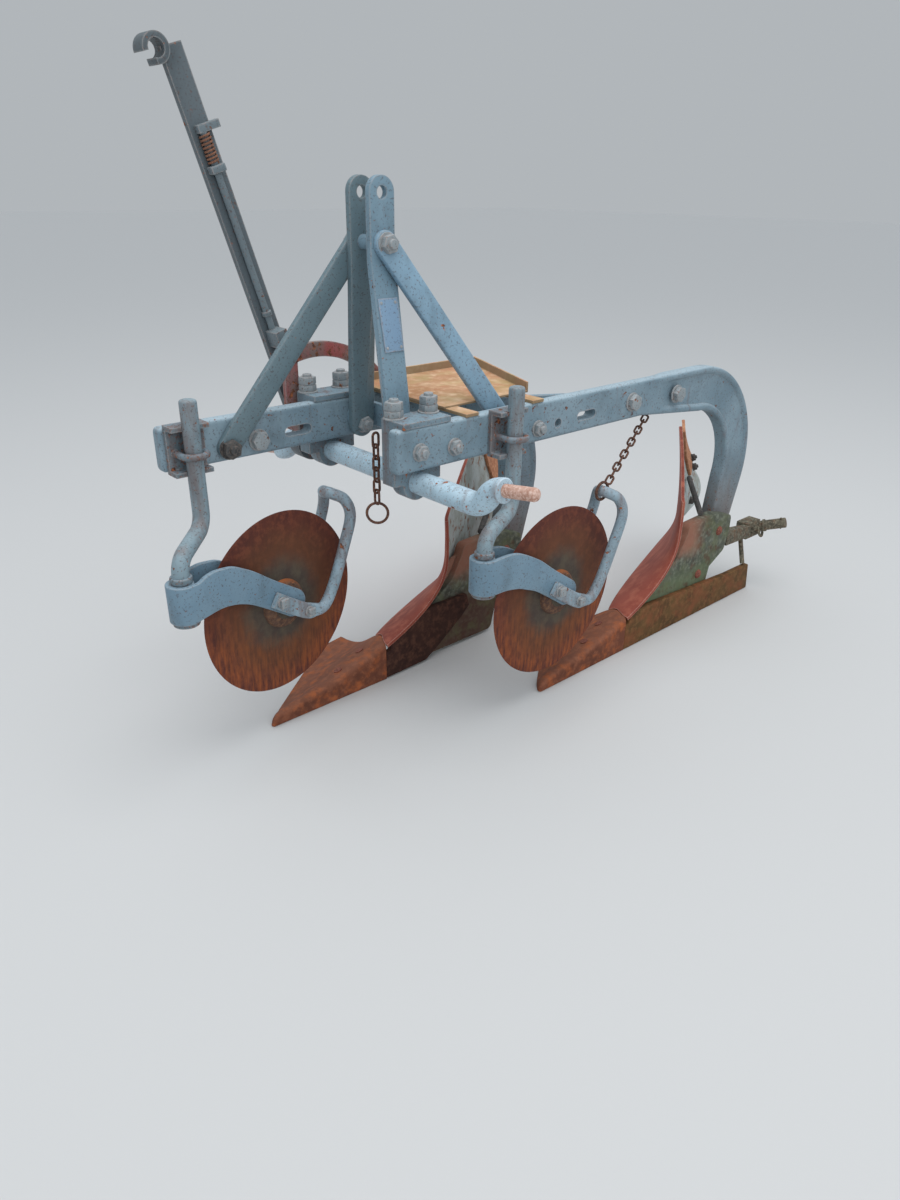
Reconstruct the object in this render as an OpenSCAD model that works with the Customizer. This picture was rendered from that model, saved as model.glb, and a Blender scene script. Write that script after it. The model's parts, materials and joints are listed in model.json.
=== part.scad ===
// Two-furrow mounted moldboard plough that turns its slices to the right.
// Millimetres. Travel is toward -Y, the plough's left is +X and up is +Z.
// Lengths are first written from the cross shaft: x = 0 is the middle of the
// hitch, y = 0 the shaft's axis and z = 0 the floor under the shares.

/* [Layout] */
// Sideways distance between the two furrows
furrow_step = 260; // [240:1:280]
// Fore and aft distance between the two bodies
body_pitch = 506; // [490:1:520]

/* [Beams] */
// Height of the beams' top face above the floor
beam_top = 623; // [600:1:640]
// Depth of a beam at its front
beam_depth = 76; // [66:1:86]
// Thickness of the flat front of a beam
beam_thick = 27; // [20:1:32]
// Width over the raised rims of a beam
rim_width = 36; // [34:1:42]
// Height of a raised rim
rim_height = 13; // [9:1:16]
// Thickness of the web between the rims
web_thick = 19; // [14:1:24]
// Left face of the left beam
beam_left = 146; // [140:1:150]
// Front end of the left beam
left_beam_front = -66; // [-80:1:-60]
// Front end of the right beam
right_beam_front = -356; // [-366:1:-352]
// Where the rims of the left beam start
rim_start = 640; // [630:1:700]
// Centre of the beam's curve, behind the cross shaft
curve_y = 825; // [800:1:840]
// Radius of the outside of the curve
curve_outer_r = 248; // [240:1:256]
// Radius of the inside of the curve
curve_inner_r = 148; // [140:1:156]
// Forward lean of the leg, in degrees
leg_lean = 15; // [10:1:18]
// Height of the leg's lower end
leg_bottom = 150; // [140:1:180]
// Width of the leg at its lower end
leg_width = 80; // [70:1:84]
// Diameter of the spare bolt hole in a beam
spare_hole_d = 18; // [14:1:22]
// Length of the slot in a beam
slot_length = 56; // [40:1:70]

/* [Bodies] */
// Share tip of the left body, behind the cross shaft
share_tip_y = 284; // [270:1:300]
// Outside face of the left landside
land_x = 187; // [180:1:192]
// Length of a share along the landside
share_length = 291; // [270:1:310]
// Distance from share tip to heel
body_length = 834; // [800:1:860]
// Height of the landside
landside_height = 78; // [60:1:84]
// Thickness of the landside
landside_thick = 15; // [12:1:18]
// Width that one share cuts
cut_width = 214; // [200:1:230]
// Height of the joint between share and mouldboard
seam_height = 84; // [78:1:90]
// Reach of the mouldboard's wing from the landside
wing_reach = 285; // [270:1:295]
// Height of the mouldboard's shin
shin_height = 330; // [310:1:350]
// Height of the mouldboard's far upper corner
wing_height = 412; // [395:1:425]
// Thickness of the mouldboard
board_thick = 8; // [6:1:10]

/* [Cross shaft] */
// Depth of the shaft's axis below the beams' top face
shaft_drop = 105; // [99:1:113]
// Diameter of the shaft
shaft_d = 41; // [36:1:44]
// Running clearance between shaft and bore
fit_gap = 0.08; // [0.04:0.01:0.1]
// Distance from the middle to the start of a crank
crank_start = 258; // [252:1:270]
// Radius of the crank's bends
crank_bend_r = 45; // [42:1:50]
// Turn of the crank's first bend, in degrees
crank_turn = 56; // [50:1:60]
// Splay of a link pin, in degrees
pin_splay = 9; // [0:1:12]
// Diameter of a lower link pin
link_pin_d = 22.2; // [22:0.1:28.4]
// Length of a lower link pin
link_pin_length = 68; // [60:1:90]

/* [Headstock] */
// Height of the top link hole
top_link_z = 975; // [950:1:990]
// Diameter of the top link hole
top_link_d = 19.3; // [19:0.1:25.7]
// Gap between the two uprights
mast_gap = 41.4; // [40:0.2:56]
// Width of a flat bar of the headstock
strap_width = 50; // [44:1:56]
// Thickness of an upright
upright_thick = 12; // [10:1:14]
// Width of a diagonal stay
stay_width = 40; // [34:1:46]
// Thickness of a diagonal stay
stay_thick = 10; // [8:1:12]
// Height of the stays' upper bolt
apex_z = 900; // [880:1:920]

/* [Lever] */
// Height of the lever above the shaft, along the lever
lever_length = 690; // [640:1:740]
// Forward lean of the lever, in degrees
lever_lean = 17.5; // [14:0.5:22]
// Middle plane of the lever
lever_x = -226; // [-232:1:-222]
// Outer radius of the quadrant
quadrant_r = 200; // [185:1:210]

/* [Coulters] */
// Diameter of a disc
disc_d = 354; // [330:1:370]
// Thickness of a disc
disc_thick = 4; // [3:0.5:5]
// Diameter of a stalk
stalk_d = 29; // [26:1:31]
// Distance from stalk to swivel axis
stalk_crank = 100; // [94:1:106]
// Distance from swivel axis to the disc's axle
trail = 208; // [204:1:216]
// Height of the left disc's axle
rear_axle_z = 250; // [240:1:262]
// Height of the right disc's axle
front_axle_z = 278; // [266:1:290]
// Height of the top of the rear fork's nose above the floor
rear_nose_top_z = 383; // [378:1:388]
// Height of the top of the front fork's nose above the floor
front_nose_top_z = 393; // [388:1:398]
// Height of the nose itself
nose_height = 68; // [66:1:70]
// Diameter of a guard rod
guard_d = 22; // [16:1:24]

/* [Tray] */
// Thickness of the tray's sheet
tray_sheet = 4; // [3:0.5:6]
// Height of the tray's lips
tray_lip = 20; // [12:1:30]

/* [Hidden] */

shaft_z = beam_top - shaft_drop;
shaft_r = shaft_d / 2;
stalk_r = stalk_d / 2;
mast_half = mast_gap / 2;
beam_right = beam_left - beam_thick;
rim_right = beam_left - rim_width;

// Paint and rust
paint = [0.47, 0.55, 0.60];
rust = [0.50, 0.27, 0.17];
dark_rust = [0.36, 0.19, 0.14];
dark_iron = [0.22, 0.22, 0.23];
frog_paint = [0.42, 0.44, 0.38];
old_steel = [0.40, 0.33, 0.20];

// The points of an arc in the plane of a side plate
function arc(centre, r, from, to, steps) = [
    for (i = [0 : steps])
        let (a = from + (to - from) * i / steps)
        centre + r * [cos(a), sin(a)]
];

// The frame's origin is under the middle of the plough
module in_frame() translate([0, -middle_y, 0]) children();

// What is made for the left body, moved to the right body
module right_body() translate([-furrow_step, -body_pitch, 0]) children();

// A plate that stands fore and aft: the outline's x is y and its y is z
module side_plate(x, thick) translate([x, 0, 0]) rotate([90, 0, 90]) linear_extrude(thick) children();

// A bolt hole through a side plate
module side_hole(x, thick, y, z, d) translate([x - 1, y, z]) rotate([0, 90, 0])
    cylinder(h = thick + 2, d = d, $fn = 32);

// A flat bar with round ends between two bolts, its faces square to x
module strap(a, b, width, thick) hull() for (p = [a, b])
    translate(p) rotate([0, 90, 0]) cylinder(h = thick, d = width, center = true, $fn = 32);

// The path of a crank: up, over toward +x by one bend and back by another
function crank_path(bend_r, turn, straight, back) =
    let (
        first = [for (a = [0 : turn / 8 : turn]) bend_r * [1 - cos(a), 0, sin(a)]],
        way = [sin(turn), 0, cos(turn)],
        over = bend_r * [1 - cos(turn), 0, sin(turn)] + straight * way,
        second = [for (a = [0 : back / 8 : back])
            over + bend_r * [cos(turn - a) - cos(turn), 0, sin(turn) - sin(turn - a)]]
    )
    concat(first, straight > 0 ? second : [for (i = [1 : len(second) - 1]) second[i]]);

// A smooth path through chosen points
function blend4(a, b, c, d, t) =
    0.5 * ((2 * b) + (c - a) * t + (2 * a - 5 * b + 4 * c - d) * t * t + (3 * b - a - 3 * c + d) * t * t * t);
function smooth(p, steps) = [
    for (i = [0 : len(p) - 2]) for (k = [0 : steps - 1])
        blend4(p[max(i - 1, 0)], p[i], p[i + 1], p[min(i + 2, len(p) - 1)], k / steps),
    p[len(p) - 1]
];
function unit(v) = v / norm(v);

// A round bar carried along a path, each ring square to the path and turned by a guide
module tube(path, r, sides, guide) {
    n = len(path);
    rings = [
        for (i = [0 : n - 1])
            let (
                along = unit(path[min(i + 1, n - 1)] - path[max(i - 1, 0)]),
                side = unit(cross(along, guide)),
                up = cross(along, side)
            )
            for (k = [0 : sides - 1])
                path[i] + r * (cos(360 * k / sides) * side + sin(360 * k / sides) * up)
    ];
    walls = [
        for (i = [0 : n - 2]) for (k = [0 : sides - 1])
            let (m = (k + 1) % sides)
            [i * sides + k, (i + 1) * sides + k, (i + 1) * sides + m, i * sides + m]
    ];
    first = [[for (k = [0 : sides - 1]) k]];
    last = [[for (k = [sides - 1 : -1 : 0]) (n - 1) * sides + k]];
    polyhedron(points = rings, faces = concat(walls, first, last), convexity = 6);
}

// A round rod between two points
module rod(a, b, d) {
    v = b - a;
    translate(a) rotate([0, acos(v[2] / norm(v)), atan2(v[1], v[0])]) cylinder(h = norm(v), d = d, $fn = 32);
}

// Beams

// Side outline of a beam, from its front end to the foot of its leg
function beam_outline(front, drop) =
    let (
        centre = [curve_y, beam_top - curve_outer_r],
        foot_rise = centre[1] - leg_bottom,
        foot_back = centre[0] + curve_outer_r * cos(leg_lean)
            - (foot_rise - curve_outer_r * sin(leg_lean)) * tan(leg_lean)
    )
    concat(
        [[front + drop, beam_top - beam_depth + drop]],
        [[rim_start - 40, beam_top - beam_depth + drop]],
        arc(centre, curve_inner_r + drop, 90, -leg_lean, 16),
        [[foot_back - leg_width + drop, leg_bottom + drop]],
        [[foot_back - drop, leg_bottom + drop]],
        arc(centre, curve_outer_r - drop, -leg_lean, 90, 20),
        [[front + drop, beam_top - drop]]
    );

// The part of a beam that has rims
module rear_half() translate([rim_start, 0]) square([900, beam_top + 10]);

module beam(front) difference() {
    union() {
        side_plate(beam_right, beam_thick) difference() {
            polygon(beam_outline(front, 0));
            rear_half();
        }
        side_plate(beam_right, web_thick) intersection() {
            polygon(beam_outline(front, 0));
            rear_half();
        }
        side_plate(rim_right, rim_width) intersection() {
            difference() {
                polygon(beam_outline(front, 0));
                polygon(beam_outline(front, rim_height));
            }
            rear_half();
        }
    }
    side_hole(beam_right, beam_thick, 331, beam_top - 48, spare_hole_d);
    side_plate(beam_right - 1, beam_thick + 2) hull()
        for (end = [-1, 1])
            translate([415 + end * (slot_length - spare_hole_d) / 2, beam_top - 45])
                circle(d = spare_hole_d, $fn = 32);
}

module left_beam() color(paint) in_frame() beam(left_beam_front);
module right_beam() color(paint) in_frame() right_body() beam(right_beam_front + body_pitch);

// Braces

brace_thick = 10;
brace_front_y = 70;
brace_height = 46;
brace_bottom = beam_top - 60;
right_face = beam_left - furrow_step;

module front_brace() color(paint) in_frame() {
    translate([right_face, brace_front_y, brace_bottom])
        cube([beam_right - right_face, brace_thick, brace_height]);
    side_plate(right_face, brace_thick) hull() {
        translate([40, brace_bottom + brace_height / 2]) circle(d = brace_height, $fn = 32);
        translate([brace_front_y, brace_bottom]) square([brace_thick, brace_height]);
    }
    translate([beam_right - brace_thick, brace_front_y, brace_bottom]) cube([brace_thick, 70, brace_height]);
}

diagonal_front = 132;
diagonal_slope = 1.81;
diagonal_half = 10;
rear_tab_end = 742;

// Fore and aft place of the diagonal's middle line
function diagonal_y(x) = diagonal_front + (x - right_face) * diagonal_slope;

module rear_brace() color(paint) in_frame() {
    left = beam_right - brace_thick;
    right = right_face + brace_thick;
    translate([0, 0, brace_bottom]) linear_extrude(brace_height - 8) polygon([
        [beam_right, diagonal_y(left) - 30], [beam_right, rear_tab_end], [left, rear_tab_end],
        [left, diagonal_y(left) + diagonal_half], [right, diagonal_y(right) + diagonal_half],
        [right, diagonal_y(right) + 50], [right_face, diagonal_y(right) + 50],
        [right_face, diagonal_y(right) - 40], [right, diagonal_y(right) - 40],
        [right, diagonal_y(right) - diagonal_half], [left, diagonal_y(left) - diagonal_half],
        [left, diagonal_y(left) - 30]
    ]);
}

// Headstock

mast_foot_z = beam_top - 23;
mast_lean_z = apex_z - stay_width / 2 - 6;

module top_link_hole(x) translate([x - 1, 0, top_link_z]) rotate([0, 90, 0])
    cylinder(h = upright_thick + 2, d = top_link_d, $fn = 48);

// An upright: its head hangs plumb to just under the apex, then it leans out to its foot
module upright(side, foot) difference() {
    union() {
        translate([side < 0 ? -mast_half - upright_thick : mast_half, 0, 0]) {
            translate([0, 0, top_link_z]) rotate([0, 90, 0])
                cylinder(h = upright_thick, d = strap_width, $fn = 64);
            translate([0, -strap_width / 2, mast_lean_z]) cube([upright_thick, strap_width, top_link_z - mast_lean_z]);
        }
        hull() {
            translate([side * (mast_half + upright_thick / 2), 0, mast_lean_z])
                cube([upright_thick, strap_width, 0.1], center = true);
            translate(foot) rotate([0, 90, 0])
                cylinder(h = upright_thick, d = strap_width, center = true, $fn = 32);
        }
    }
    top_link_hole(side < 0 ? -mast_half - upright_thick : mast_half);
}

bracket_width = 33;
left_bracket_x = beam_right - bracket_width;
right_bracket_x = beam_right - furrow_step - bracket_width;

module left_upright() color(paint) in_frame()
    upright(1, [left_bracket_x - upright_thick / 2, -10, mast_foot_z]);
module right_upright() color(paint) in_frame()
    upright(-1, [right_face + brace_thick + upright_thick / 2, 40, mast_foot_z - 26]);

stay_apex_x = mast_half + upright_thick + stay_thick / 2;

module left_stay() color(paint) in_frame()
    strap([stay_apex_x, 0, apex_z], [beam_right - stay_thick / 2, 214, beam_top - 36],
        stay_width, stay_thick);
module right_stay() color(paint) in_frame()
    strap([-stay_apex_x, 0, apex_z], [right_face + stay_thick / 2, -237, beam_top - 51],
        stay_width, stay_thick);

module mast_spacer() color(paint) in_frame() translate([-mast_half, 0, apex_z]) rotate([0, 90, 0])
    cylinder(h = mast_gap, d = 24, $fn = 48);

plate_z = 775;
plate_height = 86;

// The blank plate lies on the left upright's outer face
module name_plate() color(paint) in_frame() {
    face_fall = mast_lean_z - mast_foot_z - strap_width / 2;
    slope = (left_bracket_x - mast_half - upright_thick) / face_fall;
    down = mast_lean_z - plate_z;
    translate([mast_half + upright_thick + slope * down, -10 * down / (mast_lean_z - mast_foot_z), plate_z])
        rotate([0, -atan(slope), 0]) translate([1.3, 0, 0])
            cube([2, strap_width - 10, plate_height], center = true);
}

// Cross shaft and its brackets

bracket_bolt_y = 38;
bracket_half = 52;
bracket_bottom = shaft_z - 32;

module shaft_bracket(x, beam_x) difference() {
    union() {
        translate([x, -bracket_half, shaft_z]) cube([bracket_width, 2 * bracket_half, beam_top - shaft_z]);
        translate([x, 0, shaft_z]) rotate([0, 90, 0])
            cylinder(h = bracket_width, r = shaft_z - bracket_bottom, $fn = 64);
        translate([x, -bracket_half, beam_top]) cube([beam_x - x, 2 * bracket_half, 10]);
        for (side = [-1, 1]) translate([x + bracket_width / 2, side * bracket_bolt_y, beam_top + 10])
            cylinder(h = 28, d = 30, $fn = 6);
    }
    translate([x - 1, 0, shaft_z]) rotate([0, 90, 0])
        cylinder(h = bracket_width + 2, r = shaft_r + fit_gap, $fn = 64);
}

module left_shaft_bracket() color(paint) in_frame() shaft_bracket(left_bracket_x, beam_left);
module right_shaft_bracket() color(paint) in_frame() shaft_bracket(right_bracket_x, beam_left - furrow_step);

shoulder = 8;
crank_back = crank_turn - pin_splay;

// One end of the cross shaft: crank, shoulder and link pin, toward +x
module shaft_end() translate([crank_start, 0, 0]) rotate([0, 90, 0]) rotate([0, 0, 180]) {
    path = crank_path(crank_bend_r, crank_turn, 0, crank_back);
    tip = path[len(path) - 1];
    pin_way = [sin(pin_splay), 0, cos(pin_splay)];
    tube(concat([[0, 0, -12]], path, [tip + 4 * pin_way]), shaft_r - 0.4, 24, [0, 1, 0]);
    translate(tip) rotate([0, pin_splay, 0]) {
        cylinder(h = shoulder, r = shaft_r, $fn = 48);
        cylinder(h = shoulder + link_pin_length, d = link_pin_d, $fn = 48);
    }
}

module cross_shaft() color(paint) in_frame() translate([0, 0, shaft_z]) {
    translate([-crank_start, 0, 0]) rotate([0, 90, 0]) cylinder(h = 2 * crank_start, r = shaft_r, $fn = 48);
    shaft_end();
    rotate([0, 180, 0]) shaft_end();
}

lever_thick = 12;
hub_half = 17;

// The lever clamps on the shaft and leans forward
module lever() color(dark_iron) in_frame() translate([lever_x, 0, shaft_z]) rotate([lever_lean, 0, 0]) {
    difference() {
        union() {
            translate([-hub_half, 0, 0]) rotate([0, 90, 0])
                cylinder(h = 2 * hub_half, r = shaft_r + 14, $fn = 64);
            translate([-lever_thick / 2, -24, 0]) cube([lever_thick, 48, 130]);
            translate([-lever_thick / 2, -19, 120]) cube([lever_thick, 38, lever_length - 120]);
        }
        translate([-hub_half - 1, 0, 0]) rotate([0, 90, 0])
            cylinder(h = 2 * hub_half + 2, r = shaft_r + 0.05, $fn = 64);
    }
    translate([-hub_half, -30, lever_length]) rotate([0, 90, 0]) difference() {
        cylinder(h = 2 * hub_half, r = 22, $fn = 48);
        translate([0, 0, -1]) cylinder(h = 2 * hub_half + 2, r = 13, $fn = 48);
        translate([0, -30, -1]) cube([30, 24, 2 * hub_half + 2]);
    }
}

// The latch rod runs up the lever's left side to a trigger under the handle
module lever_latch() color(dark_iron) in_frame() translate([lever_x, 0, shaft_z]) rotate([lever_lean, 0, 0]) {
    translate([lever_thick / 2, -12, quadrant_r + 6]) cube([36, 24, 30]);
    translate([lever_thick / 2, 0, quadrant_r + 36]) translate([6, 0, 0]) cylinder(h = 330, d = 12, $fn = 32);
    translate([lever_thick / 2, -9, quadrant_r + 366]) cube([12, 40, 12]);
}

quadrant_width = 28;
quadrant_thick = 10;
quadrant_x = right_bracket_x - 16;
quadrant_front = -72;
quadrant_back = 150;
quadrant_foot = 30;

// Height of the middle of the quadrant's arc above the shaft
function quadrant_rise(y) = sqrt(pow(quadrant_r - quadrant_width / 2, 2) - y * y);

module quadrant() color([0.45, 0.16, 0.13]) in_frame() {
    side_plate(quadrant_x, quadrant_thick) intersection() {
        translate([0, shaft_z]) difference() {
            circle(r = quadrant_r, $fn = 128);
            circle(r = quadrant_r - quadrant_width, $fn = 128);
        }
        translate([quadrant_front, shaft_z]) square([quadrant_back + 18 - quadrant_front, quadrant_r + 20]);
    }
    for (y = [quadrant_front, quadrant_back - quadrant_foot]) {
        rise = shaft_z + quadrant_rise(y + quadrant_foot / 2) - brace_bottom;
        translate([quadrant_x, y, brace_bottom]) cube([quadrant_thick, quadrant_foot, rise]);
        translate([quadrant_x + quadrant_thick, y, brace_bottom])
            cube([right_bracket_x + bracket_width - quadrant_x - quadrant_thick, 20, 40]);
    }
}

// Tray

tray_front = 84;
tray_right = -171;
tray_left = 91;
tray_back_right = 404;
tray_back_left = 300;
strip_thick = 6;

module tray() color([0.55, 0.40, 0.27]) in_frame() {
    sheet_z = beam_top + strip_thick;
    outline = [[tray_right, tray_front], [tray_left, tray_front],
        [tray_left, tray_back_left], [tray_right, tray_back_right]];
    translate([0, 0, sheet_z]) linear_extrude(tray_sheet) polygon(outline);
    translate([tray_right, tray_front, sheet_z]) cube([tray_sheet, tray_back_right - tray_front, tray_lip]);
    translate([0, 0, sheet_z]) linear_extrude(tray_lip) polygon([
        outline[2], outline[3], outline[3] - [0, tray_sheet], outline[2] - [0, tray_sheet]
    ]);
    for (y = [tray_front + 4, tray_back_left - 44]) translate([right_face - beam_thick, y, beam_top])
        cube([beam_left - right_face + beam_thick, 30, strip_thick]);
}

// Bodies, made for the left furrow

// The shin's distance behind the share tip at a height
shin_back = 462;
function shin(z) = z < 250
    ? shin_back - (shin_back - share_length) * pow((250 - z) / (250 - seam_height), 2.43)
    : shin_back - 15 * pow((z - 250) / 175, 2);

// A level line of the mouldboard leaves the shin nearly straight across, then bends back to this slope
function sweep(z) = 1.33 + 1.3 * exp((70 - z) / 95);

// Width over which a level line bends back
function easing(z) = 2 + 93 * exp((70 - z) / 85);

// How much farther back the wing's lower part lies
function wing_twist(w, z) = 105 * pow(w / wing_reach, 4) * exp(-pow(max(z - 150, 0) / 130, 2));

// A point of the mouldboard, w across from the landside and back from its face
function board_point(w, z, back) =
    let (bend = 1 - exp(-w / easing(z)), twist = wing_twist(w, z), slope = sweep(z) * bend + 4 * twist / max(w, 1))
    [
        land_x - w,
        share_tip_y + shin(z) + sweep(z) * (w - easing(z) * bend) + twist + back * norm([1, slope]),
        z
    ];

// Height of the share's back edge, which falls from its ridge toward its wing
function seam(w) = 4 + (seam_height - 4) / (1 + pow(w / 110, 4));

// Lower and upper edges of the mouldboard: it stands on the share's ridge, then rises to its wing
ridge_width = 75;
function board_low(w) = seam(min(w, ridge_width)) + 1
    + 70 * pow(max(w - ridge_width, 0) / (wing_reach - ridge_width), 1.3);
function board_high(w) = shin_height + (wing_height - shin_height) * sin(90 * min(w / (wing_reach - 40), 1))
    - 40 * pow(max(w - wing_reach + 60, 0) / 60, 2);

// A curved plate that lies along the mouldboard between two depths
module board_plate(w0, w1, columns, rows, near, far, low, high) {
    front = [for (i = [0 : columns]) for (k = [0 : rows])
        let (w = w0 + (w1 - w0) * i / columns)
        board_point(w, low[i] + (high[i] - low[i]) * k / rows, near)];
    back = [for (i = [0 : columns]) for (k = [0 : rows])
        let (w = w0 + (w1 - w0) * i / columns)
        board_point(w, low[i] + (high[i] - low[i]) * k / rows, far)];
    n = (columns + 1) * (rows + 1);
    row = rows + 1;
    cells = [for (i = [0 : columns - 1]) for (k = [0 : rows - 1]) i * row + k];
    polyhedron(points = concat(front, back), convexity = 4, faces = concat(
        [for (c = cells) [c, c + row, c + 1]],
        [for (c = cells) [c + row, c + row + 1, c + 1]],
        [for (c = cells) [n + c, n + c + 1, n + c + row]],
        [for (c = cells) [n + c + row, n + c + 1, n + c + row + 1]],
        [for (k = [0 : rows - 1]) [k, k + 1, n + k + 1, n + k]],
        [for (k = [0 : rows - 1]) let (c = columns * row + k) [c, n + c, n + c + 1, c + 1]],
        [for (i = [0 : columns - 1]) let (c = i * row) [c, n + c, n + c + row, c + row]],
        [for (i = [0 : columns - 1]) let (c = i * row + rows) [c, c + row, n + c + row, n + c]]
    ));
}

board_columns = 14;
board_rows = 12;

module mouldboard() {
    widths = [for (i = [0 : board_columns]) wing_reach * i / board_columns];
    board_plate(0, wing_reach, board_columns, board_rows, 0, board_thick,
        [for (w = widths) board_low(w)], [for (w = widths) board_high(w)]);
}

// The tail piece stiffens the wing behind the mouldboard
module tail_piece() board_plate(wing_reach - 45, wing_reach + 2, 4, 6, board_thick + 1, board_thick + 9,
    [for (i = [0 : 4]) wing_height - 157 + 8 * i], [for (i = [0 : 4]) wing_height - 20 + 4 * i]);

// A point of the share's underside: behind its top near the floor, below it higher up
function under(p) = let (lift = min(p[2] / 24, 1)) p + [0, 14 * (1 - lift), -12 * lift];

// The share: its face rises from the cutting edge to its back edge, with a flank at the landside
edge_slope = 1.3;
function share_back(w) = share_tip_y + share_length - 0.5 + 27 * sin(90 * min(w / ridge_width, 1));

module share() {
    columns = 10;
    rows = 6;
    row = rows + 1;
    top = [for (i = [0 : columns]) for (k = [0 : rows])
        let (w = cut_width * i / columns, edge = share_tip_y + w * edge_slope, t = k / rows)
        [land_x - w, edge + (share_back(w) - edge) * t, (seam(w) - 0.5) * pow(t, 1.1)]];
    n = len(top);
    cells = [for (i = [0 : columns - 1]) for (k = [0 : rows - 1]) i * row + k];
    polyhedron(points = concat(top, [for (p = top) under(p)]), convexity = 4, faces = concat(
        [for (c = cells) [c, c + row, c + 1]],
        [for (c = cells) [c + row, c + row + 1, c + 1]],
        [for (c = cells) [n + c, n + c + 1, n + c + row]],
        [for (c = cells) [n + c + row, n + c + 1, n + c + row + 1]],
        [for (k = [0 : rows - 1]) [k, k + 1, n + k + 1, n + k]],
        [for (k = [0 : rows - 1]) let (c = columns * row + k) [c, n + c, n + c + 1, c + 1]],
        [for (i = [0 : columns - 1]) let (c = i * row) [c, n + c, n + c + row, c + row]],
        [for (i = [0 : columns - 1]) let (c = i * row + rows) [c, c + row, n + c + row, n + c]]
    ));
    side_plate(land_x - 16, 16) polygon(concat(
        [[share_tip_y + 28, 0], [share_tip_y + share_length, 0]],
        [for (z = [seam_height - 4 : -10 : 0]) [share_tip_y + min(shin(z) + 26, share_length), z]]
    ));
}

heel_slope = 10;
land_front = share_tip_y + share_length + 0.5;

module landside(outline) side_plate(land_x - landside_thick, landside_thick) polygon(outline);

// From the shin back to a landside's front edge, clear of the mouldboard's back
board_gap = 16;

// The rear landside runs to the heel
long_landside = [
    [land_front, 0], [share_tip_y + body_length, 0],
    [share_tip_y + body_length - heel_slope, landside_height - 6],
    [share_tip_y + body_length - 115, landside_height - 5],
    [share_tip_y + shin(seam_height + 10) + board_gap, seam_height + 10],
    [share_tip_y + shin(seam_height) + board_gap, seam_height - 2],
    [land_front + 13, seam_height - 18], [land_front, seam_height - 18]
];

// The front landside is short and rises behind the shin
short_landside = concat(
    [[land_front, 2], [land_front + 114, 6], [land_front + 151, 30], [land_front + 221, 81],
        [land_front + 246, 105], [land_front + 238, seam_height + 50]],
    [for (z = [seam_height + 50 : -10 : seam_height]) [share_tip_y + shin(z) + board_gap, z]],
    [[land_front + 13, seam_height - 18], [land_front, seam_height - 18]]
);

frog_right = beam_left;
frog_left = land_x - landside_thick;
frog_round = 16;

// The frog: a plate between leg and landside, and a flange behind the mouldboard
module frog() {
    side_plate(frog_right, frog_left - frog_right) translate([share_tip_y, 0])
        offset(r = frog_round, $fn = 40) offset(delta = -frog_round) polygon([
            [348, 8], [624, 8], [647, 111], [704, 142], [718, 191], [717, 236],
            [640, 256], [530, 251], [524, 229], [494, 176], [430, 129], [348, 90]
        ]);
    board_plate(18, 150, 6, 6, board_thick + 3.5, board_thick + 14,
        [for (i = [0 : 6]) board_low(18 + 22 * i) + 8], [for (i = [0 : 6]) 230 - 8 * i]);
}

// A rod from the leg to the wing holds the mouldboard's far end
module board_stay() {
    stay_z = shin_height - 68;
    rod([frog_right + 6, share_tip_y + 600, stay_z], board_point(wing_reach - 70, stay_z, board_thick + 9), 14);
}

module rear_mouldboard() color(rust) in_frame() mouldboard();
module front_mouldboard() color(rust) in_frame() right_body() mouldboard();
module rear_tail_piece() color(rust) in_frame() tail_piece();
module front_tail_piece() color(rust) in_frame() right_body() tail_piece();
module rear_share() color(rust) in_frame() share();
module front_share() color(rust) in_frame() right_body() share();
module rear_landside() color(old_steel) in_frame() landside(long_landside);
module front_landside() color(old_steel) in_frame() right_body() landside(short_landside);
module rear_frog() color(frog_paint) in_frame() frog();
module front_frog() color(frog_paint) in_frame() right_body() frog();
module rear_board_stay() color(dark_iron) in_frame() board_stay();
module front_board_stay() color(dark_iron) in_frame() right_body() board_stay();

// The stub that the missing rear furrow wheel ran on
heel_y = share_tip_y + body_length;
stub_base = [beam_left - 10, heel_y + 32, 152];
stub_way = [0.90, 0.25, 0.34];
stub_length = 108;
stub_r = 13.5;

module furrow_wheel_stub() color(old_steel) in_frame() {
    hull() {
        translate([frog_right, heel_y - 115, 148]) cube([24, 4, 40]);
        translate([frog_right, heel_y - 8, 140]) cube([18, 20, 30]);
    }
    translate([frog_right - 20, heel_y + 2, 132]) cube([34, 62, 44]);
    rod(stub_base, stub_base + stub_length * unit(stub_way), 2 * stub_r);
    rod(stub_base, stub_base + 38 * unit(stub_way), 2 * stub_r + 11);
    rod([frog_right + 4, heel_y - 10, 140], [land_x - 10, heel_y - 26, landside_height - 3], 12);
}

// Coulters

rear_stalk_at = [181, 175];
front_stalk_at = [-80, -315];
rear_crank_way = -73;
front_crank_way = -51;
rear_trail_way = 1.4;
front_trail_way = 10.6;
stalk_bend_r = 32;
stalk_bend = 75;
collar_gap = 0.5;
stalk_top = 672;

stalk_straight = (stalk_crank - 2 * stalk_bend_r * (1 - cos(stalk_bend))) / sin(stalk_bend);
stalk_drop = 2 * stalk_bend_r * sin(stalk_bend) + stalk_straight * cos(stalk_bend);

// Where a coulter's swivel axis stands
function swivel_at(stalk, way) = stalk + stalk_crank * [cos(way), sin(way)];
rear_swivel = swivel_at(rear_stalk_at, rear_crank_way);
front_swivel = swivel_at(front_stalk_at, front_crank_way);

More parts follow.
